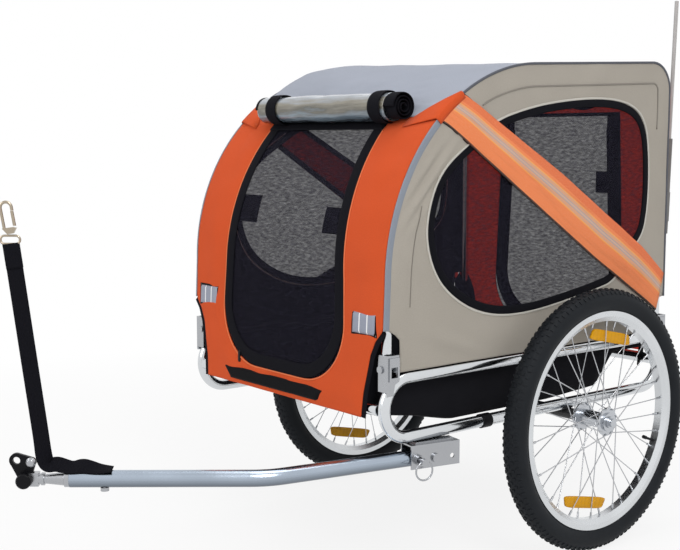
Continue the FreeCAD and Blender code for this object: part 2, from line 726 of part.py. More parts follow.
# Mesh doors that fill the openings in the front and rear panels
skin = new_body("front_door_skin")
strip = new_sketch(skin, "XZ_Plane")
front_strip(strip, door_bottom - 10, seam_angle, 1.2, inset=0.6)
pad(skin, strip, 2 * cover_half, both=True)
stencil = new_body("front_door_stencil")
cutter = new_sketch(stencil, "YZ_Plane", 200)
door_outline(cutter, door_gap)
pad(stencil, cutter, 400)
door = doc.addObject("Part::Common", "front_door")
door.Base = skin
door.Tool = stencil
keep("front_door", door)
door = new_body("rear_door")
cutter = new_sketch(door, "YZ_Plane", rear_face + 0.6)
door_outline(cutter, door_gap)
pad(door, cutter, 1.2)
keep("rear_door", door)

# Rolled rain covers with their straps, and the reflective patches
reach = arc_radius + roll_radius + 0.2
front_roll_x = arc_x + reach * cosine(roll_angle)
front_roll_z = arc_z + reach * sine(roll_angle)
rear_roll_x = rear_face - rear_roll_radius - 0.2
rear_roll_z = corner_z - rear_roll_drop
for name, radius, long, at_x, at_y, at_z in (
        ("front_roll", roll_radius, roll_half, front_roll_x, roll_shift, front_roll_z),
        ("rear_roll", rear_roll_radius, rear_roll_half, rear_roll_x, 0, rear_roll_z)):
    roll_points = [(-long, 6), (long, 6), (long, radius), (-long, radius)]
    keep(name, turned(name, roll_points, x=axle_x + at_x, y=at_y, z=at_z))


def roll_strap(name, x, y, z, facing, around):
    """A band round a roll, open on the side that lies on the cover."""
    outer = doc.addObject("Part::Cylinder", name + "_outer")
    inner = doc.addObject("Part::Cylinder", name + "_inner")
    for ring, radius, extra in ((outer, around + 1.7, 0), (inner, around + 0.2, 1)):
        bind(ring, "Radius", radius)
        ring.Height = 26 + 2 * extra
        ring.Angle = 290
        turn = FreeCAD.Rotation(V(1, 0, 0), 90).multiply(FreeCAD.Rotation(V(0, 0, 1), facing + 35))
        ring.Placement = FreeCAD.Placement(V(0, 0, 0), turn)
        bind(ring, "Placement.Base.x", axle_x + x)
        bind(ring, "Placement.Base.y", y + 13 + extra)
        bind(ring, "Placement.Base.z", z)
    inner.Angle = 360
    band = doc.addObject("Part::Cut", name)
    band.Base = outer
    band.Tool = inner
    return band


bands = []
for name, sign in (("near", 1), ("far", -1)):
    at_y = sign * strap_gap
    bands.append(roll_strap("front_band_" + name, front_roll_x, roll_shift + at_y, front_roll_z,
                            180 + roll_angle.value, roll_radius))
    bands.append(roll_strap("rear_band_" + name, rear_roll_x, at_y, rear_roll_z, 0, rear_roll_radius))
keep("roll_straps", group("roll_straps", bands))

patches = []
for name, sign in (("near_patch", 1), ("far_patch", -1)):
    patch = doc.addObject("Part::Box", name)
    patch.Length = 1.2
    patch.Width = 62
    patch.Height = 38
    low = patch_z - 19
    face_x = axle_x + front_face + lean * (arc_z - low) + 0.1
    place(patch, face_x, sign * patch_y - 31, low, V(0, -1, 0), lean_angle)
    patches.append(patch)
keep("front_patches", group("front_patches", patches))

# Hitch bracket under the left rail, with its pivot bolt and lock plunger
tow_place = dict(x=axle_x + pivot_x, y=pivot_y, z=pivot_z, axis=V(0, 0, -1), angle=tow_yaw)
channel = new_body("hitch_bracket", **tow_place)
section = new_sketch(channel, "YZ_Plane", -channel_rear)
outline(section, [(-channel_half, -channel_bottom), (plate - channel_half, -channel_bottom),
                  (plate - channel_half, channel_top - plate), (channel_half - plate, channel_top - plate),
                  (channel_half - plate, -channel_bottom), (channel_half, -channel_bottom),
                  (channel_half, channel_top), (-channel_half, channel_top)])
pad(channel, section, channel_front + channel_rear)
spacer = new_sketch(channel, "XY_Plane", channel_top)
rectangle(spacer, -36, -10, 36, 10)
pad(channel, spacer, lower_z - rail_radius - pivot_z - channel_top - 0.1)
boss = new_sketch(channel, "XZ_Plane", -channel_half - 8)
circle(boss, hole_gap, 0, 9)
pad(channel, boss, 8)
holes = new_sketch(channel, "XZ_Plane")
circle(holes, 0, 0, 5.05)
circle(holes, hole_gap, 0, 4.3)
circle(holes, -hole_gap, 0, 4.3)
pocket(channel, holes)
keep("hitch_bracket", channel)
bolt_points = [(-channel_half - 6, 0), (-channel_half - 6, 8),
               (-channel_half - 0.2, 8), (-channel_half - 0.2, 5),
               (channel_half + 0.2, 5), (channel_half + 0.2, 8), (channel_half + 5, 8), (channel_half + 5, 0)]
keep("pivot_bolt", turned("pivot_bolt", bolt_points, **tow_place))

plunger_points = [(tow_radius + 0.6, 0), (tow_radius + 0.6, 4), (channel_half + 14, 4),
                  (channel_half + 14, 6.5), (channel_half + 22, 6.5), (channel_half + 22, 0)]
shaft_place = dict(tow_place)
shaft_place["x"] = axle_x + pivot_x + hole_gap * cosine(tow_yaw)
shaft_place["y"] = pivot_y - hole_gap * sine(tow_yaw)
shaft = turned("plunger_shaft", plunger_points, **shaft_place)
pull = new_body("pull_ring", **shaft_place)
ring = new_sketch(pull, "YZ_Plane")
circle(ring, channel_half + 18, 1.2, 1.6)
spin = pull.newObject("PartDesign::Revolution", "Revolution")
spin.Profile = ring
axis = ring.addGeometry(Part.LineSegment(V(25, -15, 0), V(45, -15, 0)), True)
hold(ring, axis, 1, "DistanceX", 25)
hold(ring, axis, 1, "DistanceY", -15)
hold(ring, axis, 2, "DistanceX", 45)
hold(ring, axis, 2, "DistanceY", -15)
spin.ReferenceAxis = (ring, ["Axis0"])
spin.Angle = 360
plunger = doc.addObject("Part::Fuse", "lock_plunger")
plunger.Base = shaft
plunger.Tool = pull
keep("lock_plunger", plunger)

# Tow bar, bent once, with the strap's anchor bolt near its end
cut = tow_bend_radius * tangent(tow_bend / 2)
tow_c = cosine(tow_bend)
tow_s = sine(tow_bend)
bar_points = [(-tow_stub, 0), (tow_corner - cut, 0), (tow_corner + cut * tow_c, -cut * tow_s),
              (tow_corner + tow_end * tow_c, -tow_end * tow_s)]
bar_arcs = {1: (tow_corner - cut, -tow_bend_radius, "u", -1)}
bar = bent_tube("tow_bar", "XY_Plane", 0, bar_points, bar_arcs, "YZ_Plane", -tow_stub,
                (0, 0), tow_radius, tow_radius - tow_wall, **tow_place)
holes = new_sketch(bar, "XZ_Plane")
circle(holes, 0, 0, 5.08)
circle(holes, hole_gap, 0, 4.4)
pocket(bar, holes)
anchor = new_sketch(bar, "XY_Plane")
circle(anchor, tow_corner + (tow_end - 56) * tow_c, (56 - tow_end) * tow_s, 4.05)
pocket(bar, anchor)
keep("tow_bar", bar)

# Hitch pieces in a frame at the end of the tow bar, x along the bar
heading = tow_yaw + tow_bend
end_x = pivot_x + tow_corner * cosine(tow_yaw) + tow_end * cosine(heading)
end_y = pivot_y - tow_corner * sine(tow_yaw) - tow_end * sine(heading)
end_place = dict(x=axle_x + end_x, y=end_y, z=pivot_z, axis=V(0, 0, -1), angle=heading)
neck_body = new_body("hitch_neck", **end_place)
stem = new_sketch(neck_body, "XZ_Plane")
spigot = tow_radius - tow_wall - 0.05
outline(stem, [(-16, 0), (-16, spigot), (0.3, spigot), (0.3, 13.5), (8, 13.5), (9, 11), (38, 8), (41, 8),
               (41, 10.5), (46, 10.5), (46, 8.5), (52, 8.5), (52, 0)])
spin = neck_body.newObject("PartDesign::Revolution", "Revolution")
spin.Profile = stem
spin.ReferenceAxis = (stem, ["H_Axis"])
spin.Angle = 360
fork = new_sketch(neck_body, "XZ_Plane")
outline(fork, [(50, -11), (tongue_pin, -11), (tongue_pin, 11), (50, 11)], {1: (tongue_pin, 0, "u", 1)})
pad(neck_body, fork, 2 * (tongue_half + 4.5), both=True)
slot = new_sketch(neck_body, "XY_Plane")
rectangle(slot, 57, -tongue_half - 0.3, tongue_pin + 20, tongue_half + 0.3)
pocket(neck_body, slot)
bore = new_sketch(neck_body, "XZ_Plane")
circle(bore, tongue_pin, 0, 4.05)
pocket(neck_body, bore)
keep("hitch_neck", neck_body)
cheek = tongue_half + 4.7
knob_points = [(-cheek - 5, 0), (-cheek - 5, 7), (-cheek, 7), (-cheek, 4), (cheek, 4), (cheek, 12.5),
               (cheek + 10, 12.5), (cheek + 12, 10.5), (cheek + 12, 0)]
pin_place = dict(end_place)
pin_place["x"] = axle_x + end_x + tongue_pin * cosine(heading)
pin_place["y"] = end_y - tongue_pin * sine(heading)
keep("hitch_pin", turned("hitch_pin", knob_points, **pin_place))

tongue = new_body("hitch_tongue", **end_place)
tail_x = tongue_pin - 10
tail_z = tongue_hole_z - 3
arm = new_sketch(tongue, "XZ_Plane")
outline(arm, [(tongue_pin - 8, -4), (tongue_pin + 9, -4), (tongue_hole_x + 10, tongue_hole_z - 6),
              (tongue_hole_x - 4, tongue_hole_z + 11.2),
              (tail_x - 2.5, tail_z + 7.5), (tail_x - 7.8, tail_z)])
pad(tongue, arm, 2 * tongue_half, both=True)
for u, v, radius in ((tongue_pin, 0, 10.5), (tongue_hole_x, tongue_hole_z, 12), (tail_x, tail_z, 8)):
    eye = new_sketch(tongue, "XZ_Plane")
    circle(eye, u, v, radius)
    pad(tongue, eye, 2 * tongue_half, both=True)
for u, v, radius in ((tongue_pin, 0, 4.08), (tongue_hole_x, tongue_hole_z, tongue_hole)):
    bore = new_sketch(tongue, "XZ_Plane")
    circle(bore, u, v, radius)
    pocket(tongue, bore)
keep("hitch_tongue", tongue)

anchor_place = dict(end_place)
anchor_place["x"] = axle_x + end_x - 56 * cosine(heading)
anchor_place["y"] = end_y + 56 * sine(heading)
anchor_body = new_body("anchor_bolt", **anchor_place)
for low, high, radius in ((-20, -14.3, 7), (-14.4, 14.1, 4)):
    disc = new_sketch(anchor_body, "XY_Plane", low)
    circle(disc, 0, 0, radius)
    pad(anchor_body, disc, high - low)
keep("anchor_bolt", anchor_body)

# Safety strap: a wavy length on the bar, then upright webbing to the ring and the leaning snap hook
webbing_body = new_body("safety_strap", **end_place)
wave = new_sketch(webbing_body, "XZ_Plane")
crests = [(-69, 14.3), (-45, 14.6), (-22, 21), (0, 16), (16, 24), (38.7, 18)]
lower = [(u, size(v)) for u, v in crests]
upper = [(u, size(v) + 2) for u, v in reversed(crests)]
outline(wave, lower + upper)
pad(webbing_body, wave, webbing, both=True)
upright = new_sketch(webbing_body, "XZ_Plane")
half = webbing / 2
outline(upright, [(38.7 - half, 19), (38.7 + half - 6, 18), (38.7 + half, strap_foot + 5),
                  (38.7 + strap_lean + half, strap_top), (38.7 + strap_lean - half, strap_top)])
pad(webbing_body, upright, 2, both=True)
keep("safety_strap", webbing_body)
ring_x = 38.7 + strap_lean + 1
ring_low = strap_top + ring_wire + 0.3
ring_top = ring_low + 2 * ring_bend
ring_out = ring_x + ring_half
ring_in = ring_x - ring_half
ring_points = [(ring_x + 0.2, ring_low), (ring_out, ring_low), (ring_out, ring_top), (ring_in, ring_top),
               (ring_in, ring_low), (ring_x - 0.2, ring_low)]
ring_arcs = {1: (ring_out, ring_low + ring_bend, "u", 1), 3: (ring_in, ring_low + ring_bend, "u", 1)}
ring_body = new_body("strap_ring", **end_place)
path = new_sketch(ring_body, "XZ_Plane")
outline(path, ring_points, ring_arcs, closed=False)
wire = new_sketch(ring_body, "YZ_Plane", ring_x + 0.2)
circle(wire, 0, ring_low, ring_wire)
sweep = ring_body.newObject("PartDesign::AdditivePipe", "Pipe")
sweep.Profile = wire
sweep.Spine = (path, [])
keep("strap_ring", ring_body)
hook_z = ring_top + ring_wire + 9.1


def on_hook(across, height):
    """A point of the leaning hook, from the foot of its middle line."""
    lean_s = sine(hook_lean)
    lean_c = cosine(hook_lean)
    return ring_x + across * lean_c + height * lean_s, hook_z - across * lean_s + height * lean_c


def leaning_wire(body, points, radius, arcs=None):
    """A round wire along the points, its profile at the first of them."""
    path = new_sketch(body, "XZ_Plane")
    outline(path, points, arcs, closed=False)
    wire = new_sketch(body, "XY_Plane", points[0][1])
    circle(wire, points[0][0], 0, radius)
    sweep = body.newObject("PartDesign::AdditivePipe", "Pipe")
    sweep.Profile = wire
    sweep.Spine = (path, [])


hook = new_body("snap_hook", **end_place)
top_u, top_v = on_hook(0, hook_length)
hook_points = [on_hook(hook_half, 0), on_hook(hook_half, hook_length), on_hook(-hook_half, hook_length),
               on_hook(-hook_half, hook_length - 6)]
leaning_wire(hook, hook_points, hook_wire, {1: (top_u, top_v, "v", 1)})
base = new_sketch(hook, "XZ_Plane")
outline(base, [on_hook(hook_half + 3.2, 2.4), on_hook(5, -8), on_hook(-5, -8), on_hook(-hook_half - 2, 0),
               on_hook(3 - hook_half, 2)])
pad(hook, base, 7, both=True)
keep("snap_hook", hook)
gate = new_body("snap_gate", **end_place)
leaning_wire(gate, [on_hook(0.5 - hook_half, 3.6), on_hook(0.5 - hook_half, hook_length - 6.45)], 2.6)
keep("snap_gate", gate)

# Pole and its sleeve at the rear left corner
pole_foot_x = rear_face - 23
pole_foot_z = 591
pole_place = dict(x=axle_x + pole_foot_x, y=270, z=pole_foot_z, axis=V(0, -1, 0), angle=pole_lean)
pole = new_body("pole", **pole_place)
disc = new_sketch(pole, "XY_Plane")
circle(disc, 0, 0, pole_radius)
pad(pole, disc, pole_length)
keep("pole", pole)
holder = new_body("pole_socket", **pole_place)
disc = new_sketch(holder, "XY_Plane", -6)
circle(disc, 0, 0, pole_radius + 3)
pad(holder, disc, 196)
tab = new_sketch(holder, "XY_Plane", 20)
rectangle(tab, 3, -5, 23.3, 12)
pad(holder, tab, 60)
bore = new_sketch(holder, "XY_Plane", -0.1)
circle(bore, 0, 0, pole_radius + 0.08)
cutout = holder.newObject("PartDesign::Pocket", "Pocket")
cutout.Profile = bore
cutout.Type = "ThroughAll"
cutout.Reversed = True
keep("pole_socket", holder)

doc.recompute()

# Check every object and write each node to its own file
faults = []
for obj in doc.Objects:
    if "Invalid" in obj.State or "Error" in obj.State:
        faults.append("%s %s" % (obj.Label, obj.State))
for label, obj in nodes.items():
    if obj.Shape.isNull() or not obj.Shape.isValid() or not obj.Shape.Solids:
        faults.append("%s shape" % label)
for fault in faults:
    print("fault", fault)
if faults:
    raise RuntimeError("%d faults" % len(faults))
os.makedirs("parts", exist_ok=True)
for label, obj in nodes.items():
    obj.Shape.exportStep("parts/%s.step" % label)
whole = Part.makeCompound([obj.Shape for obj in nodes.values()]).BoundBox
print("nodes", len(nodes))
print("box", [round(v, 2) for v in (whole.XMin, whole.XMax, whole.YMin, whole.YMax, whole.ZMin, whole.ZMax)])
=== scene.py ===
import math
import bpy
import numpy as np
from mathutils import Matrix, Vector


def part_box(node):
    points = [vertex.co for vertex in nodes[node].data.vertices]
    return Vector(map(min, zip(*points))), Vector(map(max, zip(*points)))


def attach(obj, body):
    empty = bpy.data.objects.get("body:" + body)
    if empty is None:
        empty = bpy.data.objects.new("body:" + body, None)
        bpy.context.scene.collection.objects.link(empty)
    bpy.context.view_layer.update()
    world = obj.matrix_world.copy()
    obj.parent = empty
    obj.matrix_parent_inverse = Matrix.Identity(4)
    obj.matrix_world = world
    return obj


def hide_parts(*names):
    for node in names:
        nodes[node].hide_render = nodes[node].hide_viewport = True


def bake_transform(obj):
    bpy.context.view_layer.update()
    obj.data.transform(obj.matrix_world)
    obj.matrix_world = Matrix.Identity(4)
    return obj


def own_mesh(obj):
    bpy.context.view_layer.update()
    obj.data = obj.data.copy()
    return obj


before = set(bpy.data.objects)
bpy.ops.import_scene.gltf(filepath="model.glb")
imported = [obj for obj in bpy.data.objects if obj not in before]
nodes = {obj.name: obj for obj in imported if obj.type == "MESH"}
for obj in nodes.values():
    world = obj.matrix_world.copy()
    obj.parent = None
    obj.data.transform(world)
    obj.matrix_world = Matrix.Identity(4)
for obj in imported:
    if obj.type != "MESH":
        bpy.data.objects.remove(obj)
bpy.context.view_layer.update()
hub_low, hub_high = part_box("left_hub")
axle_x = (hub_low[0] + hub_high[0]) / 2
MM = 0.001
SIDES = (("left", 1), ("right", -1))

# Sizes in millimetres: x forward from the axle, y to the left, z up from the ground
HEM_Z = 308.0
ARC_Z = 541.0
ARC_X = 108.0
ARC_R = 377.0
HEM_X = 494.6
FACE_X = ARC_X + ARC_R
ROOF_SLOPE = math.radians(2.46)
CORNER_X = -225.0
CORNER_Z = 877.6
CORNER_R = 55.0
REAR_X = -280.0
REAR_HEM_Z = 337.0
SEAM_Z = ARC_Z + ARC_R * math.sin(math.radians(51))
COVER_HALF = 287.5
SIDE_Y = 288.8
DOOR_HALF = 185.0
DOOR_TOP_HALF = 168.0
DOOR_LOW = 350.0
DOOR_HIGH = 800.0
DOOR_CORNER = 110.0
DOOR_GAP = 0.5
DOOR_STEP = 12.0
TAPE_STEP = 9.0
REAR_HEAD = 837.0
REAR_EDGE_Y = 152.0
MIDDLE_X = 102.5
WHEEL_Y = 350.0
WHEEL_Z = 250.0
TYRE_R = 250.0
TYRE_SECTION = 22.0


def operator(kind, swapped=False):
    """A method of Wire that adds one Math node for two values."""
    def method(self, other):
        first, second = (other, self) if swapped else (self, other)
        return self.paint.add("Math", {"operation": kind}, {0: first, 1: second})
    return method


class Wire:
    """One shader value: the operators add Math nodes to its material."""

    __add__ = operator("ADD")
    __radd__ = operator("ADD", swapped=True)
    __sub__ = operator("SUBTRACT")
    __rsub__ = operator("SUBTRACT", swapped=True)
    __mul__ = operator("MULTIPLY")
    __rmul__ = operator("MULTIPLY", swapped=True)
    __gt__ = operator("GREATER_THAN")
    __lt__ = operator("LESS_THAN")

    def __init__(self, paint, socket):
        self.paint = paint
        self.socket = socket

    def sine(self):
        return self.paint.add("Math", {"operation": "SINE"}, {0: self})

    def size(self):
        return self.paint.add("Math", {"operation": "ABSOLUTE"}, {0: self})

    def clamp(self):
        return self.paint.add("Clamp", {}, {0: self})


class Paint:
    """One material, or the world, with its nodes added by the add method."""

    def __init__(self, name, owner=None):
        self.material = owner or bpy.data.materials.new(name)
        self.material.use_nodes = True
        self.tree = self.material.node_tree
        self.shader = self.tree.nodes.get("Principled BSDF")

    def add(self, kind, settings, inputs, out=0):
        node = self.tree.nodes.new("ShaderNode" + kind)
        for key, value in settings.items():
            if key == "stops":
                stops = node.color_ramp.elements
                stops[1].position = value[-1][0]
                stops[0].position = value[0][0]
                for position, _ in value[1:-1]:
                    stops.new(position)
                for stop, (_, colour) in zip(stops, value):
                    stop.color = (*colour, 1)
            else:
                setattr(node, key, value)
        for key, value in inputs.items():
            self.join(node.inputs[key], value)
        return Wire(self, node.outputs[out])

    def join(self, socket, value):
        if isinstance(value, Wire):
            self.tree.links.new(value.socket, socket)
        elif isinstance(value, tuple) and len(value) == 3 and socket.type == "RGBA":
            socket.default_value = (*value, 1)
        else:
            socket.default_value = value

    def mix(self, factor, first, second):
        return self.add("Mix", {"data_type": "RGBA"}, {0: factor, 6: first, 7: second}, out=2)

    def place(self, source="Object"):
        """x, y and z (or u and v) of the surface, in metres, and the same as one vector."""
        point = self.add("TexCoord", {}, {}, out=source)
        return self.parts(point), point

    def parts(self, vector):
        node = self.add("SeparateXYZ", {}, {0: vector}).socket.node
        return [Wire(self, socket) for socket in node.outputs]

    def downward(self):
        """0 where the surface faces up, rising to 1 where it faces the floor."""
        up = self.parts(self.add("NewGeometry", {}, {}, out="Normal"))[2]
        return (0.25 - up).clamp()

    def noise(self, point, scale, detail=3.0, rough=0.55):
        inputs = {"Vector": point, "Scale": scale, "Detail": detail, "Roughness": rough}
        return self.add("TexNoise", {}, inputs)

    def scaled(self, point, scale, turn=0.0):
        return self.add("Mapping", {}, {"Vector": point, "Rotation": (0, 0, turn), "Scale": scale})

    def bump(self, height, distance, strength=1.0):
        return self.add("Bump", {}, {"Height": height, "Distance": distance, "Strength": strength})

    def done(self, **sockets):
        for key, value in sockets.items():
            self.join(self.shader.inputs[key.replace("_", " ")], value)
        return self.material


def grey(value):
    return (value, value, value)


def shade(colour, factor):
    return tuple(min(1.0, c * factor) for c in colour)


def cloth_paint(name, colour, thread=0.0011, fuzz=0.9, glow=0.0):
    """Plain weave: threads cross over and under, with slow patches of dye; glow is painted light, an emission
    that stands in for daylight shining through the cloth.
    """
    paint = Paint(name)
    (u, v, _), point = paint.place("UV")
    turn = math.pi / thread
    weave = (u * turn).sine() * (v * turn).sine()
    patches = paint.noise(point, 7.0, 4.0)
    threads = paint.noise(point, 420.0, 2.0)
    tone = (patches - 0.5) * 0.32 + (threads - 0.5) * 0.35 + weave * 0.05 + 0.5
    base = paint.mix(tone.clamp(), shade(colour, 0.72), shade(colour, 1.22))
    height = weave * 0.4 + threads * 0.8 + patches * 0.4
    return paint.done(Base_Color=base, Roughness=fuzz, Normal=paint.bump(height, 0.0006, 0.5),
                      Sheen_Weight=0.04, Sheen_Roughness=0.5, Specular_IOR_Level=0.08,
                      Emission_Color=colour, Emission_Strength=glow)


def mesh_paint(name, colour):
    """Knitted mesh: threads round rows of small openings, in short slanting ripples where the rows drift."""
    paint = Paint(name)
    (u, v, _), point = paint.place("UV")
    turn = math.pi / 0.0017
    holes = (u * turn).sine().size() * (v * turn).sine().size()
    drift = paint.noise(point, 22.0, 2.0)
    ripples = paint.noise(paint.scaled(point, (70.0, 240.0, 1.0), 0.5), 1.0, 2.0, 0.7) - 0.5
    alpha = 0.8 - holes * 0.25 + ripples * 0.8 + (drift - 0.5) * 0.1
    tone = ripples * 1.6 + 0.62 - holes * 0.3
    base = paint.mix(tone.clamp(), shade(colour, 0.6), shade(colour, 1.5))
    return paint.done(Base_Color=base, Roughness=0.75, Alpha=alpha.clamp(), Specular_IOR_Level=0.04)


def tape_paint(name, colour):
    """Woven tape: fine ribs across and along it, and loose fibres."""
    paint = Paint(name)
    (u, v, _), point = paint.place("UV")
    ribs = (u * (2 * math.pi / 0.0016)).sine()
    cross = (v * (2 * math.pi / 0.0022)).sine()
    fibre = paint.noise(point, 300.0, 2.0)
    tone = fibre * 0.7 + ribs * 0.15 + 0.1
    base = paint.mix(tone.clamp(), shade(colour, 0.6), shade(colour, 1.7))
    return paint.done(Base_Color=base, Roughness=0.82, Specular_IOR_Level=0.08,
                      Normal=paint.bump(ribs * 0.5 + cross * 0.3, 0.0005, 0.6))


def metal_paint(name, colour, rough=0.2, streak=(40.0, 40.0, 400.0), wear=0.25, under=1.0):
    """Drawn metal: fine streaks and slow patches of polish, with painted shade darkening the faces turned to
    the floor where under is less than 1.
    """
    paint = Paint(name)
    _, point = paint.place()
    grain = paint.noise(paint.scaled(point, streak), 1.0, 3.0)
    cloud = paint.noise(point, 9.0, 3.0)
    base = paint.mix(cloud, shade(colour, 0.86), shade(colour, 1.1))
    # painted shade: faces that turn towards the floor are darkened
    if under < 1:
        base = paint.mix(paint.downward(), base, shade(colour, under))
    polish = rough * (1 - wear) + grain * (rough * wear) + (cloud - 0.5) * (rough * 0.8)
    return paint.done(Base_Color=base, Metallic=1.0, Roughness=polish.clamp(),
                      Normal=paint.bump(grain, 0.0001, 0.12))


def moulded_paint(name, colour, rough, pebble=900.0, shine=0.3):
    """Moulded or painted skin: a fine pebble with slow changes of gloss."""
    paint = Paint(name)
    _, point = paint.place()
    pebbles = paint.noise(point, pebble, 2.0)
    cloud = paint.noise(point, 14.0, 3.0)
    base = paint.mix(cloud, shade(colour, 0.8), shade(colour, 1.25))
    return paint.done(Base_Color=base, Roughness=(cloud - 0.5) * 0.25 + rough,
                      Normal=paint.bump(pebbles, 0.0002, 0.25), Specular_IOR_Level=shine)


def rubber_paint(name):
    """Tyre rubber: dull black with a dusty bloom."""
    paint = Paint(name)
    _, point = paint.place()
    dust = paint.noise(point, 26.0, 4.0)
    fine = paint.noise(point, 600.0, 2.0)
    base = paint.mix(dust, (0.006, 0.007, 0.009), (0.018, 0.021, 0.025))
    return paint.done(Base_Color=base, Roughness=(dust - 0.5) * 0.3 + 0.62,
                      Normal=paint.bump(fine, 0.0002, 0.3), Specular_IOR_Level=0.14)


def amber_paint(name):
    """Reflector lens: a grid of small cube corners under clear amber, with ribs between its fields."""
    paint = Paint(name)
    (u, v, _), _ = paint.place("UV")
    turn = 2 * math.pi / 0.0048
    cells = (u * turn).sine() * (v * turn).sine()
    ribs = (u * (2 * math.pi / 0.0215)).sine().size()
    tone = (cells * 0.35 + 0.45 + (ribs < 0.22) * -0.3).clamp()
    base = paint.mix(tone, (0.6, 0.26, 0.002), (0.95, 0.48, 0.006))
    return paint.done(Base_Color=base, Roughness=0.24, Normal=paint.bump(cells, 0.0006, 0.7),
                      Coat_Weight=0.05, Specular_IOR_Level=0.12)


def vinyl_paint(name):
    """Clear vinyl rolled on itself: pale above as a painted sky reflection, olive and blue-grey layers in
    front, dark below as painted shade, streaks along it.
    """
    paint = Paint(name)
    (_, v, _), point = paint.place("UV")
    streaks = paint.noise(paint.scaled(point, (9.0, 13.0, 1.0)), 1.0, 5.0, 0.62)
    around = v + (streaks - 0.5) * 0.3
    # colours round the roll: the pale stops are a painted sky reflection, the darkest stops painted shade
    # under the roll
    ramp_with_painted_light = {"stops": [(0.0, (0.42, 0.45, 0.5)), (0.12, (0.25, 0.27, 0.3)), (0.37, (0.015, 0.017, 0.02)),
                      (0.47, (0.045, 0.06, 0.075)), (0.55, (0.2, 0.26, 0.31)), (0.62, (0.1, 0.095, 0.075)),
                      (0.71, (0.24, 0.22, 0.17)), (0.79, (0.3, 0.33, 0.37)), (0.9, (0.6, 0.65, 0.72)),
                      (1.0, (0.42, 0.45, 0.5))]}
    base = paint.add("ValToRGB", ramp_with_painted_light, {0: around})
    return paint.done(Base_Color=base, Roughness=0.12, Normal=paint.bump(streaks, 0.004, 0.6),
                      Coat_Weight=0.8, Alpha=(streaks * 0.4 + 0.72).clamp())


def stripe_paint(name, bands, colours):
    """Tape with lengthwise bands: each band starts at a share of the width, from 0 to 1 in v."""
    paint = Paint(name)
    (u, v, _), point = paint.place("UV")
    base = colours[0]
    for start, colour in zip(bands, colours[1:]):
        base = paint.mix(v > start, base, colour)
    fibre = paint.noise(point, 160.0, 3.0)
    slow = paint.noise(point, 6.0, 3.0)
    base = paint.mix(((fibre - 0.42) * 0.5).clamp(), base, (1.0, 0.7, 0.5))
    base = paint.mix(((slow - 0.52) * 1.2).clamp(), base, (0.4, 0.075, 0.02))
    ribs = (u * (2 * math.pi / 0.0012)).sine()
    return paint.done(Base_Color=base, Roughness=0.75, Normal=paint.bump(ribs * 0.4 + fibre, 0.0005, 0.5))


def patch_paint(name):
    """Reflective patch: silver film in upright bands between white lines."""
    paint = Paint(name)
    (u, v, _), _ = paint.place("UV")
    turn = 2 * math.pi / 0.0024
    cells = (u * turn).sine() * (v * turn).sine()
    lines = (u * (math.pi / 0.0205)).sine().size() < 0.2
    base = paint.mix((cells * 0.3 + 0.5).clamp(), (0.17, 0.19, 0.25), (0.36, 0.38, 0.46))
    base = paint.mix(lines, base, grey(0.9))
    return paint.done(Base_Color=base, Roughness=0.4, Metallic=0.1, Normal=paint.bump(cells, 0.0003, 0.4),
                      Coat_Weight=0.1)


BLACK = (0.005, 0.005, 0.0075)
BLACK_MOULDED = (0.005, 0.005, 0.0065)
ALLOY = (0.66, 0.68, 0.7)
BAND_STARTS = [0.2, 0.27, 0.3, 0.37, 0.39, 0.43, 0.45, 0.53, 0.56, 0.96]
BAND_COLOURS = [(0.8, 0.17, 0.05), (0.88, 0.24, 0.075), (0.9, 0.4, 0.1), (0.7, 0.36, 0.22),
                (0.4, 0.36, 0.38), (0.66, 0.42, 0.31), (0.4, 0.36, 0.38), (0.7, 0.36, 0.22),
                (0.92, 0.38, 0.08), (0.88, 0.23, 0.07), (0.03, 0.012, 0.01)]

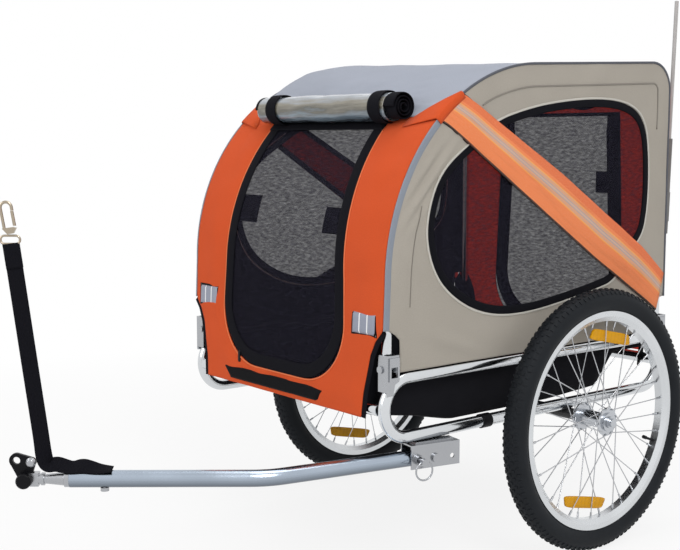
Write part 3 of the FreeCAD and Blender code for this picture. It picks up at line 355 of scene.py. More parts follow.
paints = {
    "orange": cloth_paint("orange_cloth", (0.64, 0.09, 0.024)),
    "taupe": cloth_paint("taupe_cloth", (0.42, 0.385, 0.335)),
    "roof": cloth_paint("roof_cloth", (0.36, 0.385, 0.45), fuzz=0.75),
    "black_cloth": cloth_paint("black_cloth", (0.006, 0.006, 0.0085)),
    "lining": cloth_paint("dark_lining", (0.008, 0.008, 0.0095)),
    # orange lining: the cloth's own colour, given a glow by emission as painted daylight through the cloth
    "orange_lining_painted_glow": cloth_paint("orange_lining_painted_glow", (0.6, 0.05, 0.03), glow=0.45),
    # a thin lighter orange line along the edges of the door openings
    "light_edge_line": cloth_paint("light_orange_edge_line", (0.76, 0.2, 0.08), thread=0.003),
    # blue-grey tape for the front edges: painted shade where the cloth rounds the edge
    "edge_tape_painted_light": cloth_paint("blue_grey_painted_edge_shade", (0.27, 0.3, 0.35)),
    # cream window piping: a real bead, its pale colour a painted highlight
    "cream_painted_highlight": cloth_paint("cream_piping_painted_highlight", (0.58, 0.56, 0.51)),
    "taupe_seam": cloth_paint("taupe_seam", (0.27, 0.25, 0.22)),
    "roof_edge": cloth_paint("roof_edge", (0.12, 0.125, 0.145)),
    "mesh": mesh_paint("knitted_mesh", (0.013, 0.0125, 0.02)),
    "binding": tape_paint("black_binding", BLACK),
    "webbing": tape_paint("black_webbing", BLACK),
    "hook_tape": cloth_paint("hook_tape", (0.004, 0.004, 0.005), thread=0.0018),
    "strap": stripe_paint("diagonal_strap_cloth", BAND_STARTS, BAND_COLOURS),
    "patch": patch_paint("reflective_patch"),
    "vinyl": vinyl_paint("clear_vinyl"),
    "rubber": rubber_paint("tyre_rubber"),
    "amber": amber_paint("amber_lens"),
    "rim": metal_paint("rim_alloy", ALLOY, 0.3, (300.0, 30.0, 300.0)),
    "spoke": metal_paint("spoke_steel", (0.5, 0.51, 0.53), 0.22),
    "hub": metal_paint("hub_steel", (0.5, 0.52, 0.55), 0.2, (300.0, 20.0, 300.0)),
    "rail": metal_paint("bright_tube", ALLOY, 0.16, (12.0, 300.0, 300.0)),
    "bracket": metal_paint("bracket_steel", (0.42, 0.43, 0.45), 0.34, (80.0, 80.0, 200.0), 0.5),
    # tow bar: its underside is darkened as painted shade
    "tow": metal_paint("tow_tube", (0.4, 0.46, 0.54), 0.24, (15.0, 300.0, 300.0), under=0.35),
    "nickel": metal_paint("hook_metal", (0.42, 0.36, 0.28), 0.22),
    "black_plastic": moulded_paint("black_plastic", BLACK_MOULDED, 0.4, shine=0.12),
    "black_metal": moulded_paint("black_metal", BLACK_MOULDED, 0.34, 500.0, shine=0.12),
    "dark_steel": moulded_paint("beam_paint", (0.03, 0.03, 0.032), 0.35, 500.0),
    "pole": moulded_paint("pole_plastic", (0.42, 0.4, 0.39), 0.35),
    "socket": moulded_paint("pole_sleeve", (0.16, 0.155, 0.15), 0.4),
}

# Finishes of the CAD nodes that show; a star stands for left and right
node_paints = {
    "rubber": ["*_tyre", "*_inner_tube"], "rim": ["*_rim"], "spoke": ["*_spokes"], "hub": ["*_hub", "*_axle"],
    "rail": ["*_side_loop", "*_hoop", "front_cross_tube", "rear_cross_tube"],
    "bracket": ["front_*_bracket", "rear_*_bracket", "hinge_pins", "hitch_bracket", "pivot_bolt",
                "lock_plunger", "hitch_neck", "anchor_bolt"],
    "dark_steel": ["axle_beam"], "black_plastic": ["rail_sleeves", "hitch_pin"], "socket": ["pole_socket"],
    "tow": ["tow_bar"], "black_metal": ["hitch_tongue"], "pole": ["pole"],
    "nickel": ["strap_ring", "snap_hook", "snap_gate"],
}
for key, names in node_paints.items():
    for name in sorted({name.replace("*", side) for name in names for side, _ in SIDES}):
        nodes[name].data.materials.clear()
        nodes[name].data.materials.append(paints[key])


def metres(points):
    """Millimetres from the axle to metres in the object's frame."""
    return np.asarray(points, float) * MM + np.array([axle_x, 0, 0])


def grid(*parts):
    """Arrays spread over one grid and stacked as the coordinates of its points."""
    return np.stack(np.broadcast_arrays(*parts), -1)


def unit(vectors):
    return vectors / np.linalg.norm(vectors, axis=-1, keepdims=True)


def run_along(line):
    """How far along a line each of its points lies."""
    return np.concatenate([[0], np.cumsum(np.linalg.norm(np.diff(line, axis=0), axis=1))])


def signed_power(wave, power):
    """A wave made squarer by a power below 1 or sharper by one above it, with its sign kept."""
    return np.sign(wave) * np.abs(wave) ** power


def quads(rows, columns, round_rows=False, round_columns=False):
    """Corner numbers of the faces of a grid, whose ends may close on themselves."""
    r = np.arange(rows if round_rows else rows - 1)[:, None]
    c = np.arange(columns if round_columns else columns - 1)[None, :]
    after_r = (r + 1) % rows
    after_c = (c + 1) % columns
    corners = [r * columns + c, r * columns + after_c, after_r * columns + after_c, after_r * columns + c]
    return grid(*corners).reshape(-1, 4)


def make(name, points, faces, paint, uv=None, flip=False, smooth=True):
    """A mesh object from points in millimetres, with one uv pair in metres for each point."""
    mesh = bpy.data.meshes.new(name)
    faces = [list(f)[::-1] if flip else list(f) for f in faces]
    mesh.from_pydata(metres(points).tolist(), [], faces)
    if uv is not None:
        layer = mesh.uv_layers.new(name="cloth")
        corner = np.empty(len(mesh.loops), dtype=np.int32)
        mesh.loops.foreach_get("vertex_index", corner)
        layer.data.foreach_set("uv", np.asarray(uv, float)[corner].astype(np.float32).ravel())
    mesh.materials.append(paints[paint])
    mesh.polygons.foreach_set("use_smooth", [smooth] * len(mesh.polygons))
    piece = bpy.data.objects.new(name, mesh)
    bpy.context.scene.collection.objects.link(piece)
    return piece


def sheet_grid(name, points, paint, uv, closed=False, flip=False, thick=1.2, lining=None, cap=False):
    """A cloth grid, points as rows x columns x 3, given its thickness and its inner face by Solidify.

    A closed grid joins its last column to its first, and a cap fills its first row.
    """
    rows, columns = points.shape[:2]
    faces = quads(rows, columns, False, closed).tolist()
    if cap:
        faces.append(list(range(columns))[::-1])
    piece = make(name, points.reshape(-1, 3), faces, paint, uv.reshape(-1, 2) * MM, flip)
    if thick:
        wall = piece.modifiers.new("thickness", "SOLIDIFY")
        wall.thickness = thick * MM
        wall.offset = 0
    if lining:
        piece.data.materials.append(paints[lining])
        wall.material_offset = 1
    return piece


def carried(name, path, normal, section, paint, closed=False):
    """A closed section carried along a path: its u goes across the path, its v along the normal."""
    path = np.asarray(path, float)
    normal = np.broadcast_to(np.asarray(normal, float), path.shape)
    if closed:
        along = unit(np.roll(path, -1, 0) - np.roll(path, 1, 0))
    else:
        along = unit(np.gradient(path, axis=0))
    across = unit(np.cross(normal, along))
    upright = np.cross(along, across)
    u, v = section[:, 0], section[:, 1]
    points = path[:, None] + across[:, None] * u[None, :, None] + upright[:, None] * v[None, :, None]
    uv = grid(run_along(path)[:, None], u[None, :])
    faces = quads(len(path), len(section), closed, True).tolist()
    if not closed:
        last = (len(path) - 1) * len(section)
        faces.append(list(range(len(section)))[::-1])
        faces.append([last + i for i in range(len(section))])
    return make(name, points.reshape(-1, 3), faces, paint, uv.reshape(-1, 2) * MM)


def tape_section(width, thick, count=14):
    """Flat tape: a flattened oval, squarer than an ellipse."""
    angle = np.linspace(0, 2 * np.pi, count, endpoint=False) + np.pi / count
    u = signed_power(np.cos(angle), 0.5) * width / 2
    v = signed_power(np.sin(angle), 0.8) * thick / 2
    return np.stack([u, v], 1)


def folds(u, v, size, count=6, seed=1, reach=90.0):
    """Soft creases: waves of a few directions and lengths added together."""
    draw = np.random.default_rng(seed)
    total = np.zeros(np.broadcast(u, v).shape)
    for _ in range(count):
        turn = draw.uniform(0, np.pi)
        length = draw.uniform(0.5, 1.6) * reach
        phase = draw.uniform(0, 2 * np.pi)
        wave = np.sin((u * np.cos(turn) + v * np.sin(turn)) * 2 * np.pi / length + phase)
        total = total + signed_power(wave, 1.5) / length * reach
    return total * size / count


def evened(points, step, closed=True):
    """The same line with points at even steps along it."""
    points = np.asarray(points, float)
    if closed:
        points = np.vstack([points, points[:1]])
    run = run_along(points)
    count = max(4, int(run[-1] / step))
    where = np.linspace(0, run[-1], count, endpoint=not closed)
    return np.stack([np.interp(where, run, column) for column in points.T], 1)


def reach_of(outline, centre, angles):
    """How far a ray from the centre goes before it meets the outline, for each angle."""
    start = outline - centre
    edge = (np.roll(start, -1, 0) - start)[None]
    start = start[None]
    ray = np.stack([np.cos(angles), np.sin(angles)], 1)[:, None]
    cross = ray[..., 0] * edge[..., 1] - ray[..., 1] * edge[..., 0]
    cross = np.where(np.abs(cross) < 1e-9, 1e-9, cross)
    far = (start[..., 0] * edge[..., 1] - start[..., 1] * edge[..., 0]) / cross
    share = (start[..., 0] * ray[..., 1] - start[..., 1] * ray[..., 0]) / cross
    good = (share >= -1e-6) & (share <= 1 + 1e-6) & (far > 0)
    return np.where(good, far, np.inf).min(1)


POLE_SHARE = 0.02


def ring_between(inner, outer, centre, rings, count=220):
    """Rings of points from an inner outline, or a small pole, to an outer one, along rays from the centre."""
    centre = np.asarray(centre, float)
    outer = np.asarray(outer, float)
    corners = np.arctan2(outer[:, 1] - centre[1], outer[:, 0] - centre[0])
    even = np.linspace(-np.pi, np.pi, count, endpoint=False)
    angles = np.unique(np.concatenate([even, corners]).round(5))
    far = reach_of(outer, centre, angles)
    near = np.zeros_like(far) if inner is None else reach_of(np.asarray(inner, float), centre, angles)
    share = np.linspace(POLE_SHARE if inner is None else 0, 1, rings)[:, None]
    reach = near[None] + (far - near)[None] * share
    ray = np.stack([np.cos(angles), np.sin(angles)], 1)
    return centre + reach[..., None] * ray[None], np.broadcast_to(share, reach.shape)


def cover_line():
    """The cover's side outline from the front hem over the roof to the rear hem, with its run."""
    straight = np.linspace(0, 1, 40)
    front = np.stack([HEM_X + (FACE_X - HEM_X) * straight, HEM_Z + (ARC_Z - HEM_Z) * straight], 1)
    turn = np.linspace(0, np.pi / 2 - ROOF_SLOPE, 90)
    arc = np.stack([ARC_X + ARC_R * np.cos(turn), ARC_Z + ARC_R * np.sin(turn)], 1)
    turn = np.linspace(np.pi / 2 - ROOF_SLOPE, np.pi, 40)
    corner = np.stack([CORNER_X + CORNER_R * np.cos(turn), CORNER_Z + CORNER_R * np.sin(turn)], 1)
    rear = np.stack([np.full(40, REAR_X), CORNER_Z + (REAR_HEM_Z - CORNER_Z) * straight], 1)
    roof = arc[-1] + (corner[0] - arc[-1]) * straight[1:-1, None]
    line = np.vstack([front, arc[1:], roof, corner, rear[1:]])
    return line, run_along(line)


LINE, RUN = cover_line()
SLOPE = np.gradient(LINE, RUN, axis=0)
TOP = int(np.argmax(LINE[:, 1]))


def front_run(z):
    """The run along the cover at a height of its front."""
    return np.interp(z, LINE[:TOP, 1], RUN[:TOP])


def rear_run(z):
    """The run along the cover at a height of its rear."""
    return np.interp(-np.asarray(z, float), -LINE[TOP:, 1], RUN[TOP:])


def on_cover(y, run, lift=0.0):
    """A point of the cover at y and a run, raised along the outward normal, and that normal."""
    y, run, lift = np.broadcast_arrays(np.asarray(y, float), run, lift)
    x = np.interp(run, RUN, LINE[:, 0])
    z = np.interp(run, RUN, LINE[:, 1])
    out_x = np.interp(run, RUN, SLOPE[:, 1])
    out_z = -np.interp(run, RUN, SLOPE[:, 0])
    return np.stack([x + lift * out_x, y, z + lift * out_z], -1), np.stack([out_x, y * 0, out_z], -1)


def dress(piece, body, replaced=(), soft=False):
    """Ride on a body and stand for CAD nodes, which are hidden; soft pieces get a mesh of their own."""
    if soft:
        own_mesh(piece)
    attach(piece, body)
    if replaced:
        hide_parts(*replaced)
    return piece


def cloth_sheet(piece):
    """Read a sheet's uv map into an array, which nothing uses."""
    layer = piece.data.uv_layers[0].data
    uv = np.empty(len(layer) * 2, dtype=np.float32)
    layer.foreach_get("uv", uv)


def sewn(name, points, paint, uv, rests_on, body, slot, replaced=(), soft=False, length=None, **form):
    """A sheet of cloth, made on a grid and dressed."""
    piece = sheet_grid(name, points, paint, uv, **form)
    cloth_sheet(piece)
    return dress(piece, body, replaced, soft)


def tape(name, path, normal, size, paint, body, replaced=(), soft=False, closed=False):
    """Flat tape of a width and a thickness, carried along a path and dressed."""
    piece = carried(name, path, normal, tape_section(*size), paint, closed)
    return dress(piece, body, replaced, soft)


# Camera at the photograph's viewpoint
CAMERA_AT = (1782.05, 1765.13, 782.11)
CAMERA_HEADING = math.radians(230.889)
CAMERA_PITCH = math.radians(6.553)
camera_data = bpy.data.cameras.new("photo_camera")
camera_data.sensor_width = 36
camera_data.lens = 63.10
camera = bpy.data.objects.new("photo_camera", camera_data)
bpy.context.scene.collection.objects.link(camera)
camera.location = metres(CAMERA_AT)
look = Vector((math.cos(CAMERA_HEADING) * math.cos(CAMERA_PITCH),
               math.sin(CAMERA_HEADING) * math.cos(CAMERA_PITCH), -math.sin(CAMERA_PITCH)))
camera.rotation_euler = look.to_track_quat("-Z", "Y").to_euler()
bpy.context.scene.camera = camera

# Safety strap: webbing that lies in waves on the tow bar and then stands up to its ring
BAR_HEADING = math.radians(38.7)
BAR_END = (931.88, 24.0, 232.0)
STRAP_WIDTH = 27.0
STRAP_THICK = 2.2
STRAP_CLEAR = 15.5
STRAP_ROUTE = [(-69, 15.6), (-50, 15.9), (-34, 19), (-20, 22), (-4, 18.2), (10, 21.5), (22, 25), (35, 21.5),
               (41.5, 34), (45, 70), (57, 165), (70.5, 275), (83.4, 379)]
RISE_ALONG = 30.0
RISE_LOW = 22.0
RISE_HEIGHT = 45.0


def at_bar_end(along, across, up):
    """A point given along the tow bar's last run, across it to the left, and up."""
    x = BAR_END[0] + along * math.cos(BAR_HEADING) + across * math.sin(BAR_HEADING)
    y = BAR_END[1] - along * math.sin(BAR_HEADING) + across * math.cos(BAR_HEADING)
    return grid(x, y, BAR_END[2] + up)


BAR_ORIGIN = at_bar_end(0.0, 0.0, 0.0)
BAR_LEFT = at_bar_end(0.0, 1.0, 0.0) - BAR_ORIGIN


def strap_line():
    """The route's smooth curve, along the bar and up: a NURBS spline with the route as its controls."""
    curve = bpy.data.curves.new("strap_route", "CURVE")
    curve.dimensions = "3D"
    curve.resolution_u = 10
    spline = curve.splines.new("NURBS")
    spline.points.add(len(STRAP_ROUTE) - 1)
    for point, (along, up) in zip(spline.points, STRAP_ROUTE):
        point.co = (along, 0, up, 1)
    spline.order_u = 3
    spline.use_endpoint_u = True
    holder = bpy.data.objects.new("strap_route", curve)
    bpy.context.scene.collection.objects.link(holder)
    bpy.context.view_layer.update()
    line = bpy.data.meshes.new_from_object(holder)
    points = np.array([v.co for v in line.vertices])
    bpy.data.objects.remove(holder)
    bpy.data.meshes.remove(line)
    return points[:, 0], points[:, 2]


def safety_strap():
    """Webbing that leans over the side of the bar where it lies slack, and turns along it while it rises."""
    along, up = strap_line()
    path = at_bar_end(along, 0.0, up)
    lean = np.arccos(STRAP_CLEAR / np.maximum(up, STRAP_CLEAR))
    rise = np.clip((up - RISE_LOW) / RISE_HEIGHT, 0, 1) * (along > RISE_ALONG)
    turn = lean + (math.pi / 2 - lean) * rise * rise * (3 - 2 * rise)
    step = unit(np.gradient(np.stack([along, up], 1), axis=0))
    side = at_bar_end(-step[:, 1] * np.cos(turn), np.sin(turn), step[:, 0] * np.cos(turn)) - BAR_ORIGIN
    strap = tape("safety_strap_webbing", path, side, (STRAP_WIDTH, STRAP_THICK), "webbing", "tow",
                 ["safety_strap"])
    # The folded end that is sewn round the ring
    top = at_bar_end(np.linspace(79.0, 84.2, 12), 0.0, np.linspace(344.0, 384.0, 12))
    tape("strap_lap", top, BAR_LEFT, (STRAP_WIDTH + 0.8, 5.2), "webbing", "tow")


safety_strap()


def door_outline(inset=0.0, head=DOOR_HIGH):
    """Door outline in y and z: a round-cornered foot and sides that draw in towards the top."""
    turn = np.linspace(-np.pi / 2, 0, 14)
    foot = np.stack([DOOR_HALF - inset - DOOR_CORNER + DOOR_CORNER * np.cos(turn),
                     DOOR_LOW + inset + DOOR_CORNER + DOOR_CORNER * np.sin(turn)], 1)
    one = np.vstack([foot, [[DOOR_TOP_HALF - inset, head - inset]]])
    return np.vstack([one, one[::-1] * [-1, 1]])


def door_rim(inset):
    """The door's sides and foot as an open line that runs up under the roll."""
    outline = door_outline(inset)
    one = outline[:len(outline) // 2]
    one[-1, 1] = DOOR_HIGH + 2
    return np.vstack([one[::-1], one * [-1, 1]])


def panel_outline(low, top):
    """Outline of the front or rear panel: cut back at the foot, full width above the brackets."""
    foot = np.interp(low, [HEM_Z, REAR_HEM_Z], [238.7, 240.5])
    one = np.array([(foot, low), (242.5, 350), (257.5, 417), (269.5, 442), (284, 458), (COVER_HALF, 466),
                    (COVER_HALF, top)])
    return np.vstack([one, one[::-1] * [-1, 1]])


def laid(line, to_run):
    """A line in y and z as y and the run along the cover, with the middle of its box."""
    line = np.stack([line[:, 0], to_run(line[:, 1])], 1)
    return line, (0.0, float(np.mean([line[:, 1].min(), line[:, 1].max()])))


def cover_panel(end, to_run, low, top, head, seed):
    """A panel with a door opening, swelling a little between its seams and creased."""
    outer, _ = laid(panel_outline(low, top), to_run)
    inner, centre = laid(evened(door_outline(head=head), DOOR_STEP), to_run)
    flat, share = ring_between(inner, outer, centre, 22)
    y, run = flat[..., 0], flat[..., 1]
    fade = np.sin(np.pi * share)
    lift = 2.2 * fade + folds(y, run, 2.6, seed=seed, reach=120) * (0.25 + 0.75 * fade)
    points, _ = on_cover(y, run, lift)
    sewn(end + "_panel_cloth", points, "orange", flat, ["left_hoop", "right_hoop"], "frame", "orange_cloth",
         [end + "_panel"], soft=True, closed=True, flip=True, lining="orange_lining_painted_glow")


def door_sheet(end, to_run, seed):
    """A mesh door, slack enough to belly out a little."""
    outline, centre = laid(evened(door_outline(DOOR_GAP), DOOR_STEP), to_run)
    flat, share = ring_between(None, outline, centre, 20)
    y, run = flat[..., 0], flat[..., 1]
    lift = -1.0 + 1.5 * (1 - share ** 2) + folds(y, run, 1.4, seed=seed, reach=150) * (1 - share)
    points, _ = on_cover(y, run, lift)
    sewn(end + "_door_mesh", points, "mesh", flat, [end + "_panel_cloth"], end + "_flap", "mesh",
         [end + "_door"], soft=True, closed=True, flip=True, thick=0, cap=True)


def tape_on_cover(name, line, to_run, size, body="frame", paint="binding", lift=0.8):
    """Tape sewn along an open line of the cover given in y and z."""
    line = evened(line, TAPE_STEP, closed=False)
    points, out = on_cover(line[:, 0], to_run(line[:, 1]), lift)
    tape(name, points, out, size, paint, body, soft=True)


# Each end's run, hem, top edge, head of its opening and width of its door's binding
ends = (("front", front_run, HEM_Z, SEAM_Z, DOOR_HIGH, 25),
        ("rear", rear_run, REAR_HEM_Z, CORNER_Z, REAR_HEAD, 37))
for number, (end, to_run, low, top, head, _) in enumerate(ends):
    cover_panel(end, to_run, low, top, head, seed=3 + number)
for number, (end, to_run, *_) in enumerate(ends):
    door_sheet(end, to_run, seed=5 + number)
for end, to_run, _, _, head, wide in ends:
    tape_on_cover(end + "_door_binding", door_rim(wide / 2), to_run, (wide, 2.6), end + "_flap")
    tape_on_cover(end + "_door_edge", door_rim(-1.4), to_run, (2.4, 2.4), "frame", "light_edge_line")
    line = [(-DOOR_TOP_HALF - 2, head + 5), (DOOR_TOP_HALF + 2, head + 5)]
    tape_on_cover(end + "_door_head", line, to_run, (26, 2.6), lift=2.2)
for side, sign in SIDES:
    foot = panel_outline(HEM_Z, SEAM_Z)[:5] * [sign, 1] + [sign * 5, 0]
    tape_on_cover(side + "_panel_edge", foot, front_run, (12, 2.2), lift=-1.0)


def head_mesh():
    """The fixed strip of mesh between the rear door and the top of its opening, with a tape at each end."""
    y = np.linspace(-DOOR_TOP_HALF, DOOR_TOP_HALF, 30)[None, :]
    run = np.linspace(rear_run(DOOR_HIGH - DOOR_GAP), rear_run(REAR_HEAD), 8)[:, None]
    points, _ = on_cover(y, run, -1.0)
    sewn("rear_head_mesh", points, "mesh", grid(y, run), ["rear_panel_cloth"], "frame", "mesh", soft=True,
         thick=0, flip=True)
    for side, sign in SIDES:
        line = [(sign * REAR_EDGE_Y, DOOR_HIGH - 2), (sign * REAR_EDGE_Y, REAR_HEAD + 2)]
        tape_on_cover("rear_head_%s_edge" % side, line, rear_run, (38, 2.4))


head_mesh()

VALANCE = 26.0
ROOF_CROWN = 28.0


def roof_cloth():
    """One sheet over the hoops: it crowns near the right hoop, laps over the front panel and is creased."""
    seam = front_run(SEAM_Z)
    rear = rear_run(CORNER_Z)
    y = np.linspace(-COVER_HALF, COVER_HALF, 60)[None, :]
    run = np.linspace(seam - VALANCE, rear, 130)[:, None]
    share = np.clip((run - seam) / (rear - seam), 0, 1)
    slack = 1 - (y / COVER_HALF) ** 8
    leaning = 0.5 - 0.5 * y / COVER_HALF
    pulled = np.exp(-share * 9)
    crown = np.interp(share, [0, 0.05, 0.12, 0.2, 0.35, 0.6, 1], [0, 5, 20, ROOF_CROWN, 18, 4, 0])
    lap = 2.8 * np.clip((seam + 10 - run) / 8, 0, 1)
    lift = lap + crown * slack * leaning + folds(y, run, 2.4, seed=8, reach=160) * slack * (share > 0)
    lift = lift + pulled * (share > 0) * slack * np.abs(folds(y, run * 2.5, 4.5, seed=9, reach=110))
    points, _ = on_cover(y, run, lift)
    sewn("roof_cloth", points, "roof", grid(y, run), ["left_hoop", "right_hoop"], "frame", "grey_cloth",
         ["roof_panel"], soft=True, lining="lining")


roof_cloth()

# Side panels with their windows, straps and piped edges: the blue-grey tape on the front edge is painted
# shade, and the window's cream bead has a painted highlight
SIDE_LOW = 388.0
SIDE_FRONT = 452.0
SIDE_REAR = 2 * MIDDLE_X - 450.0
CUT_X = 468.0
CUT_Z = 458.0
CORNER_LAP = 220.0
WINDOW_X = 88.0
WINDOW_Z = 660.0
WINDOW_LENGTH = 609.0
WINDOW_HEIGHT = 392.0
WINDOW_SHAPE = [(0.228, 0.385), (0.128, 0.431), (-0.005, 0.472), (-0.192, 0.5), (-0.34, 0.495),
                (-0.43, 0.454), (-0.475, 0.38), (-0.494, 0.253), (-0.5, 0.048), (-0.489, -0.107),
                (-0.47, -0.181), (-0.424, -0.245), (-0.335, -0.398), (-0.264, -0.426), (-0.071, -0.474),
                (0.067, -0.5), (0.199, -0.5), (0.305, -0.462), (0.388, -0.395), (0.447, -0.316),
                (0.483, -0.217), (0.499, -0.105), (0.489, 0.003), (0.463, 0.11), (0.42, 0.194),
                (0.346, 0.273)]
STRAP_UPPER = [(305, 856), (281, 843), (53, 718), (-196, 567), (-276, 506)]
STRAP_LOWER = [(368, 814), (345, 803), (162, 685), (-40, 556), (-253, 431)]


def smoothed(points, passes=3):
    """Round a closed line by cutting its corners a few times."""
    for _ in range(passes):
        after = np.roll(points, -1, 0)
        points = np.stack([points * 0.75 + after * 0.25, points * 0.25 + after * 0.75], 1).reshape(-1, 2)
    return points


def window_line(grow):
    """The window's outline with its length and height grown alike and its corners rounded."""
    size = [WINDOW_LENGTH + grow, WINDOW_HEIGHT + grow]
    return smoothed(np.array([WINDOW_X, WINDOW_Z]) + np.array(WINDOW_SHAPE) * size)


def side_outline():
    """The side panel's outline: the cover's line above the brackets, then the foot between them."""
    top = LINE[(RUN > front_run(CUT_Z)) & (RUN < rear_run(CUT_Z))]
    foot = [(REAR_X, CUT_Z), (SIDE_REAR, CUT_Z), (SIDE_REAR, SIDE_LOW), (SIDE_FRONT, SIDE_LOW),
            (SIDE_FRONT, CUT_Z - 15), (CUT_X, CUT_Z)]
    return np.vstack([top, foot])


def side_lift(x, z):
    """The side cloth's creases: short pulls beside the window's front edge, and one fold at its foot."""
    length = (x - z + 330) * 0.707
    width = (x + z - 1085) * 0.707
    pull = np.exp(-(length / 75) ** 2 - (width / 30) ** 2)
    along = (x - 358) * -0.926 + (z - 437) * -0.378
    aside = (x - 358) * 0.378 + (z - 437) * -0.926
    ridge = np.exp(-(aside / 11) ** 2 - ((along - 55) / 60) ** 2)
    hollow = np.exp(-((aside - 22) / 14) ** 2 - ((along - 55) / 70) ** 2)
    creases = folds(x, z, 2.4, seed=11, reach=170) + 5.0 * pull * np.sin(width * 0.24 + length * 0.01)
    return creases + 4.0 * (ridge - hollow)


def on_side(sign, x, z, lift=0.0):
    """A point of the side panel's plane, raised outward."""
    return grid(x, sign * (SIDE_Y + lift), z)


def side_cloth(side, sign):
    """A panel round a window opening, swelling a little and creased, with the window's mesh and edges."""
    body = side + "_side"
    flat, share = ring_between(window_line(0), evened(side_outline(), 14), (WINDOW_X, WINDOW_Z), 26, 260)
    x, z = flat[..., 0], flat[..., 1]
    fade = np.sin(np.pi * np.clip(share, 0, 1))
    lift = 1.6 * fade + side_lift(x, z) * (0.2 + 0.8 * fade)
    sewn(side + "_side_cloth", on_side(sign, x, z, lift), "taupe", flat, [side + "_hoop"], body,
         "taupe_cloth", [side + "_side_panel"], closed=True, flip=sign < 0, lining="lining")
    flat, share = ring_between(None, window_line(-1), (WINDOW_X, WINDOW_Z), 20, 200)
    x, z = flat[..., 0], flat[..., 1]
    lift = 2.0 * (share ** 2 - 1) + folds(x, z, 2.2, seed=13, reach=180) * (1 - share)
    sewn(side + "_window_net", on_side(sign, x, z, lift), "mesh", flat, [side + "_side_cloth"], body, "mesh",
         [side + "_window_mesh"], closed=True, flip=sign > 0, thick=0, cap=True)
    # the window's cream piping is a real bead whose pale colour is a painted highlight
    for name, grow, lift, size, paint, slot in (("binding", -14, 0.6, (15, 4.2), "binding", "black_cloth"),
                                                ("edge_tape_painted_light", 5, 0.9, (4.2, 3.4), "cream_painted_highlight", "taupe_cloth")):
        line = evened(window_line(grow), 8)
        tape("%s_window_%s" % (side, name), on_side(sign, line[:, 0], line[:, 1], lift), (0, sign, 0), size,
             paint, body, closed=True)


def diagonal_strap(side, sign):
    """The strap from the roof seam to the rear lower corner: a band that swells between its two edges, with
    dark borders on its inner face."""
    body = side + "_side"
    share = np.linspace(0, 1, 70)
    wide = np.linspace(0, 1, 15)
    upper, lower = (evened(edge, 1, closed=False) for edge in (STRAP_UPPER, STRAP_LOWER))
    upper, lower = (edge[(share * (len(edge) - 1)).astype(int)][:, None] for edge in (upper, lower))
    flat = upper * (1 - wide)[None, :, None] + lower * wide[None, :, None]
    creases = folds(share[:, None] * 700, wide[None] * 60, 1.5, seed=14)
    swell = 2.6 + 2.2 * np.sin(np.pi * wide)[None] + creases
    fade = np.clip(np.minimum(share, 1 - share) / 0.06, 0, 1)[:, None]
    points = on_side(sign, flat[..., 0], flat[..., 1], 1.2 + swell * (0.3 + 0.7 * fade))
    length = float(run_along(points[:, len(wide) // 2])[-1]) * MM
    sewn(side + "_strap_cloth", points, "strap", grid(share[:, None] * 680, wide[None] * 1000),
         [side + "_side_cloth"], body, "strap_cloth", [side + "_diagonal_strap"], length=length,
         flip=sign < 0, thick=1.6, lining="orange_lining_painted_glow")
    for name, column in (("upper", 1), ("lower", 13)):
        line = on_side(sign, flat[:, column, 0], flat[:, column, 1], 1.9)
        tape("%s_strap_%s_border" % (side, name), line, (0, sign, 0), (12, 1.4), "binding", body)


SEAM_INSET = 20.0


def side_edges(side, sign):
    """A blue-grey tape on the front edge, put there as painted shade of the rounded edge, and a dark piped
    bead on the roof edge, both open where the strap comes over, and creased seams.
    """
    for name, start, stop, inset, size, paint, slot in (
            # front edge: a blue-grey tape that is painted shade of the rounded edge
            ("front_edge_painted_shade", front_run(462), front_run(812), 5, (13, 3.4), "edge_tape_painted_light", "taupe_cloth"),
            ("roof_piping", front_run(858), rear_run(CUT_Z), 0.75, (4.5, 3.4), "roof_edge", "grey_cloth"),
            ("roof_seam", front_run(876), rear_run(800), 42, (3, 1.6), "taupe_seam", "taupe_cloth"),
            ("front_seam", front_run(500), front_run(690), 56, (1.6, 1.2), "taupe_seam", "taupe_cloth")):
        path, _ = on_cover(sign * (SIDE_Y + 0.9), np.linspace(start, stop, 120), -inset)
        if inset > SEAM_INSET:
            path[:, 1] += sign * (1.9 + side_lift(path[:, 0], path[:, 2]))
        tape("%s_%s" % (side, name), path, (0, sign, 0), size, paint, side + "_side")


def strap_corner(side, sign):
    """The strap's upper end laps round the front edge: over the edge, then drawn in on the front panel."""
    across = np.array([(SIDE_Y + 3.4, -9), (SIDE_Y + 3.4, -3), (SIDE_Y + 2.6, 2.4), (SIDE_Y, 4.6), (270, 4.8),
                       (250, 4.8), (CORNER_LAP, 4.8)])
    y, lift = across[:, 0][None], across[:, 1][None]
    low = np.interp(y, [CORNER_LAP, SIDE_Y], front_run([798, 812]))
    high = np.interp(y, [CORNER_LAP, SIDE_Y], front_run([806, 859]))
    run = low + (high - low) * np.linspace(0, 1, 14)[:, None]
    points, _ = on_cover(sign * y, run, lift)
    sewn(side + "_strap_corner", points, "orange", grid(y - lift, run), ["front_panel_cloth"], "frame",
         "orange_cloth", soft=True, flip=sign < 0)


for side, sign in SIDES:
    side_cloth(side, sign)
    diagonal_strap(side, sign)
    side_edges(side, sign)
    strap_corner(side, sign)


def bowed(first, bow, last, share):
    """A curve from the first value to the last that is drawn towards the bow between them."""
    return first * (1 - share) ** 2 + 2 * bow * share * (1 - share) + last * share ** 2


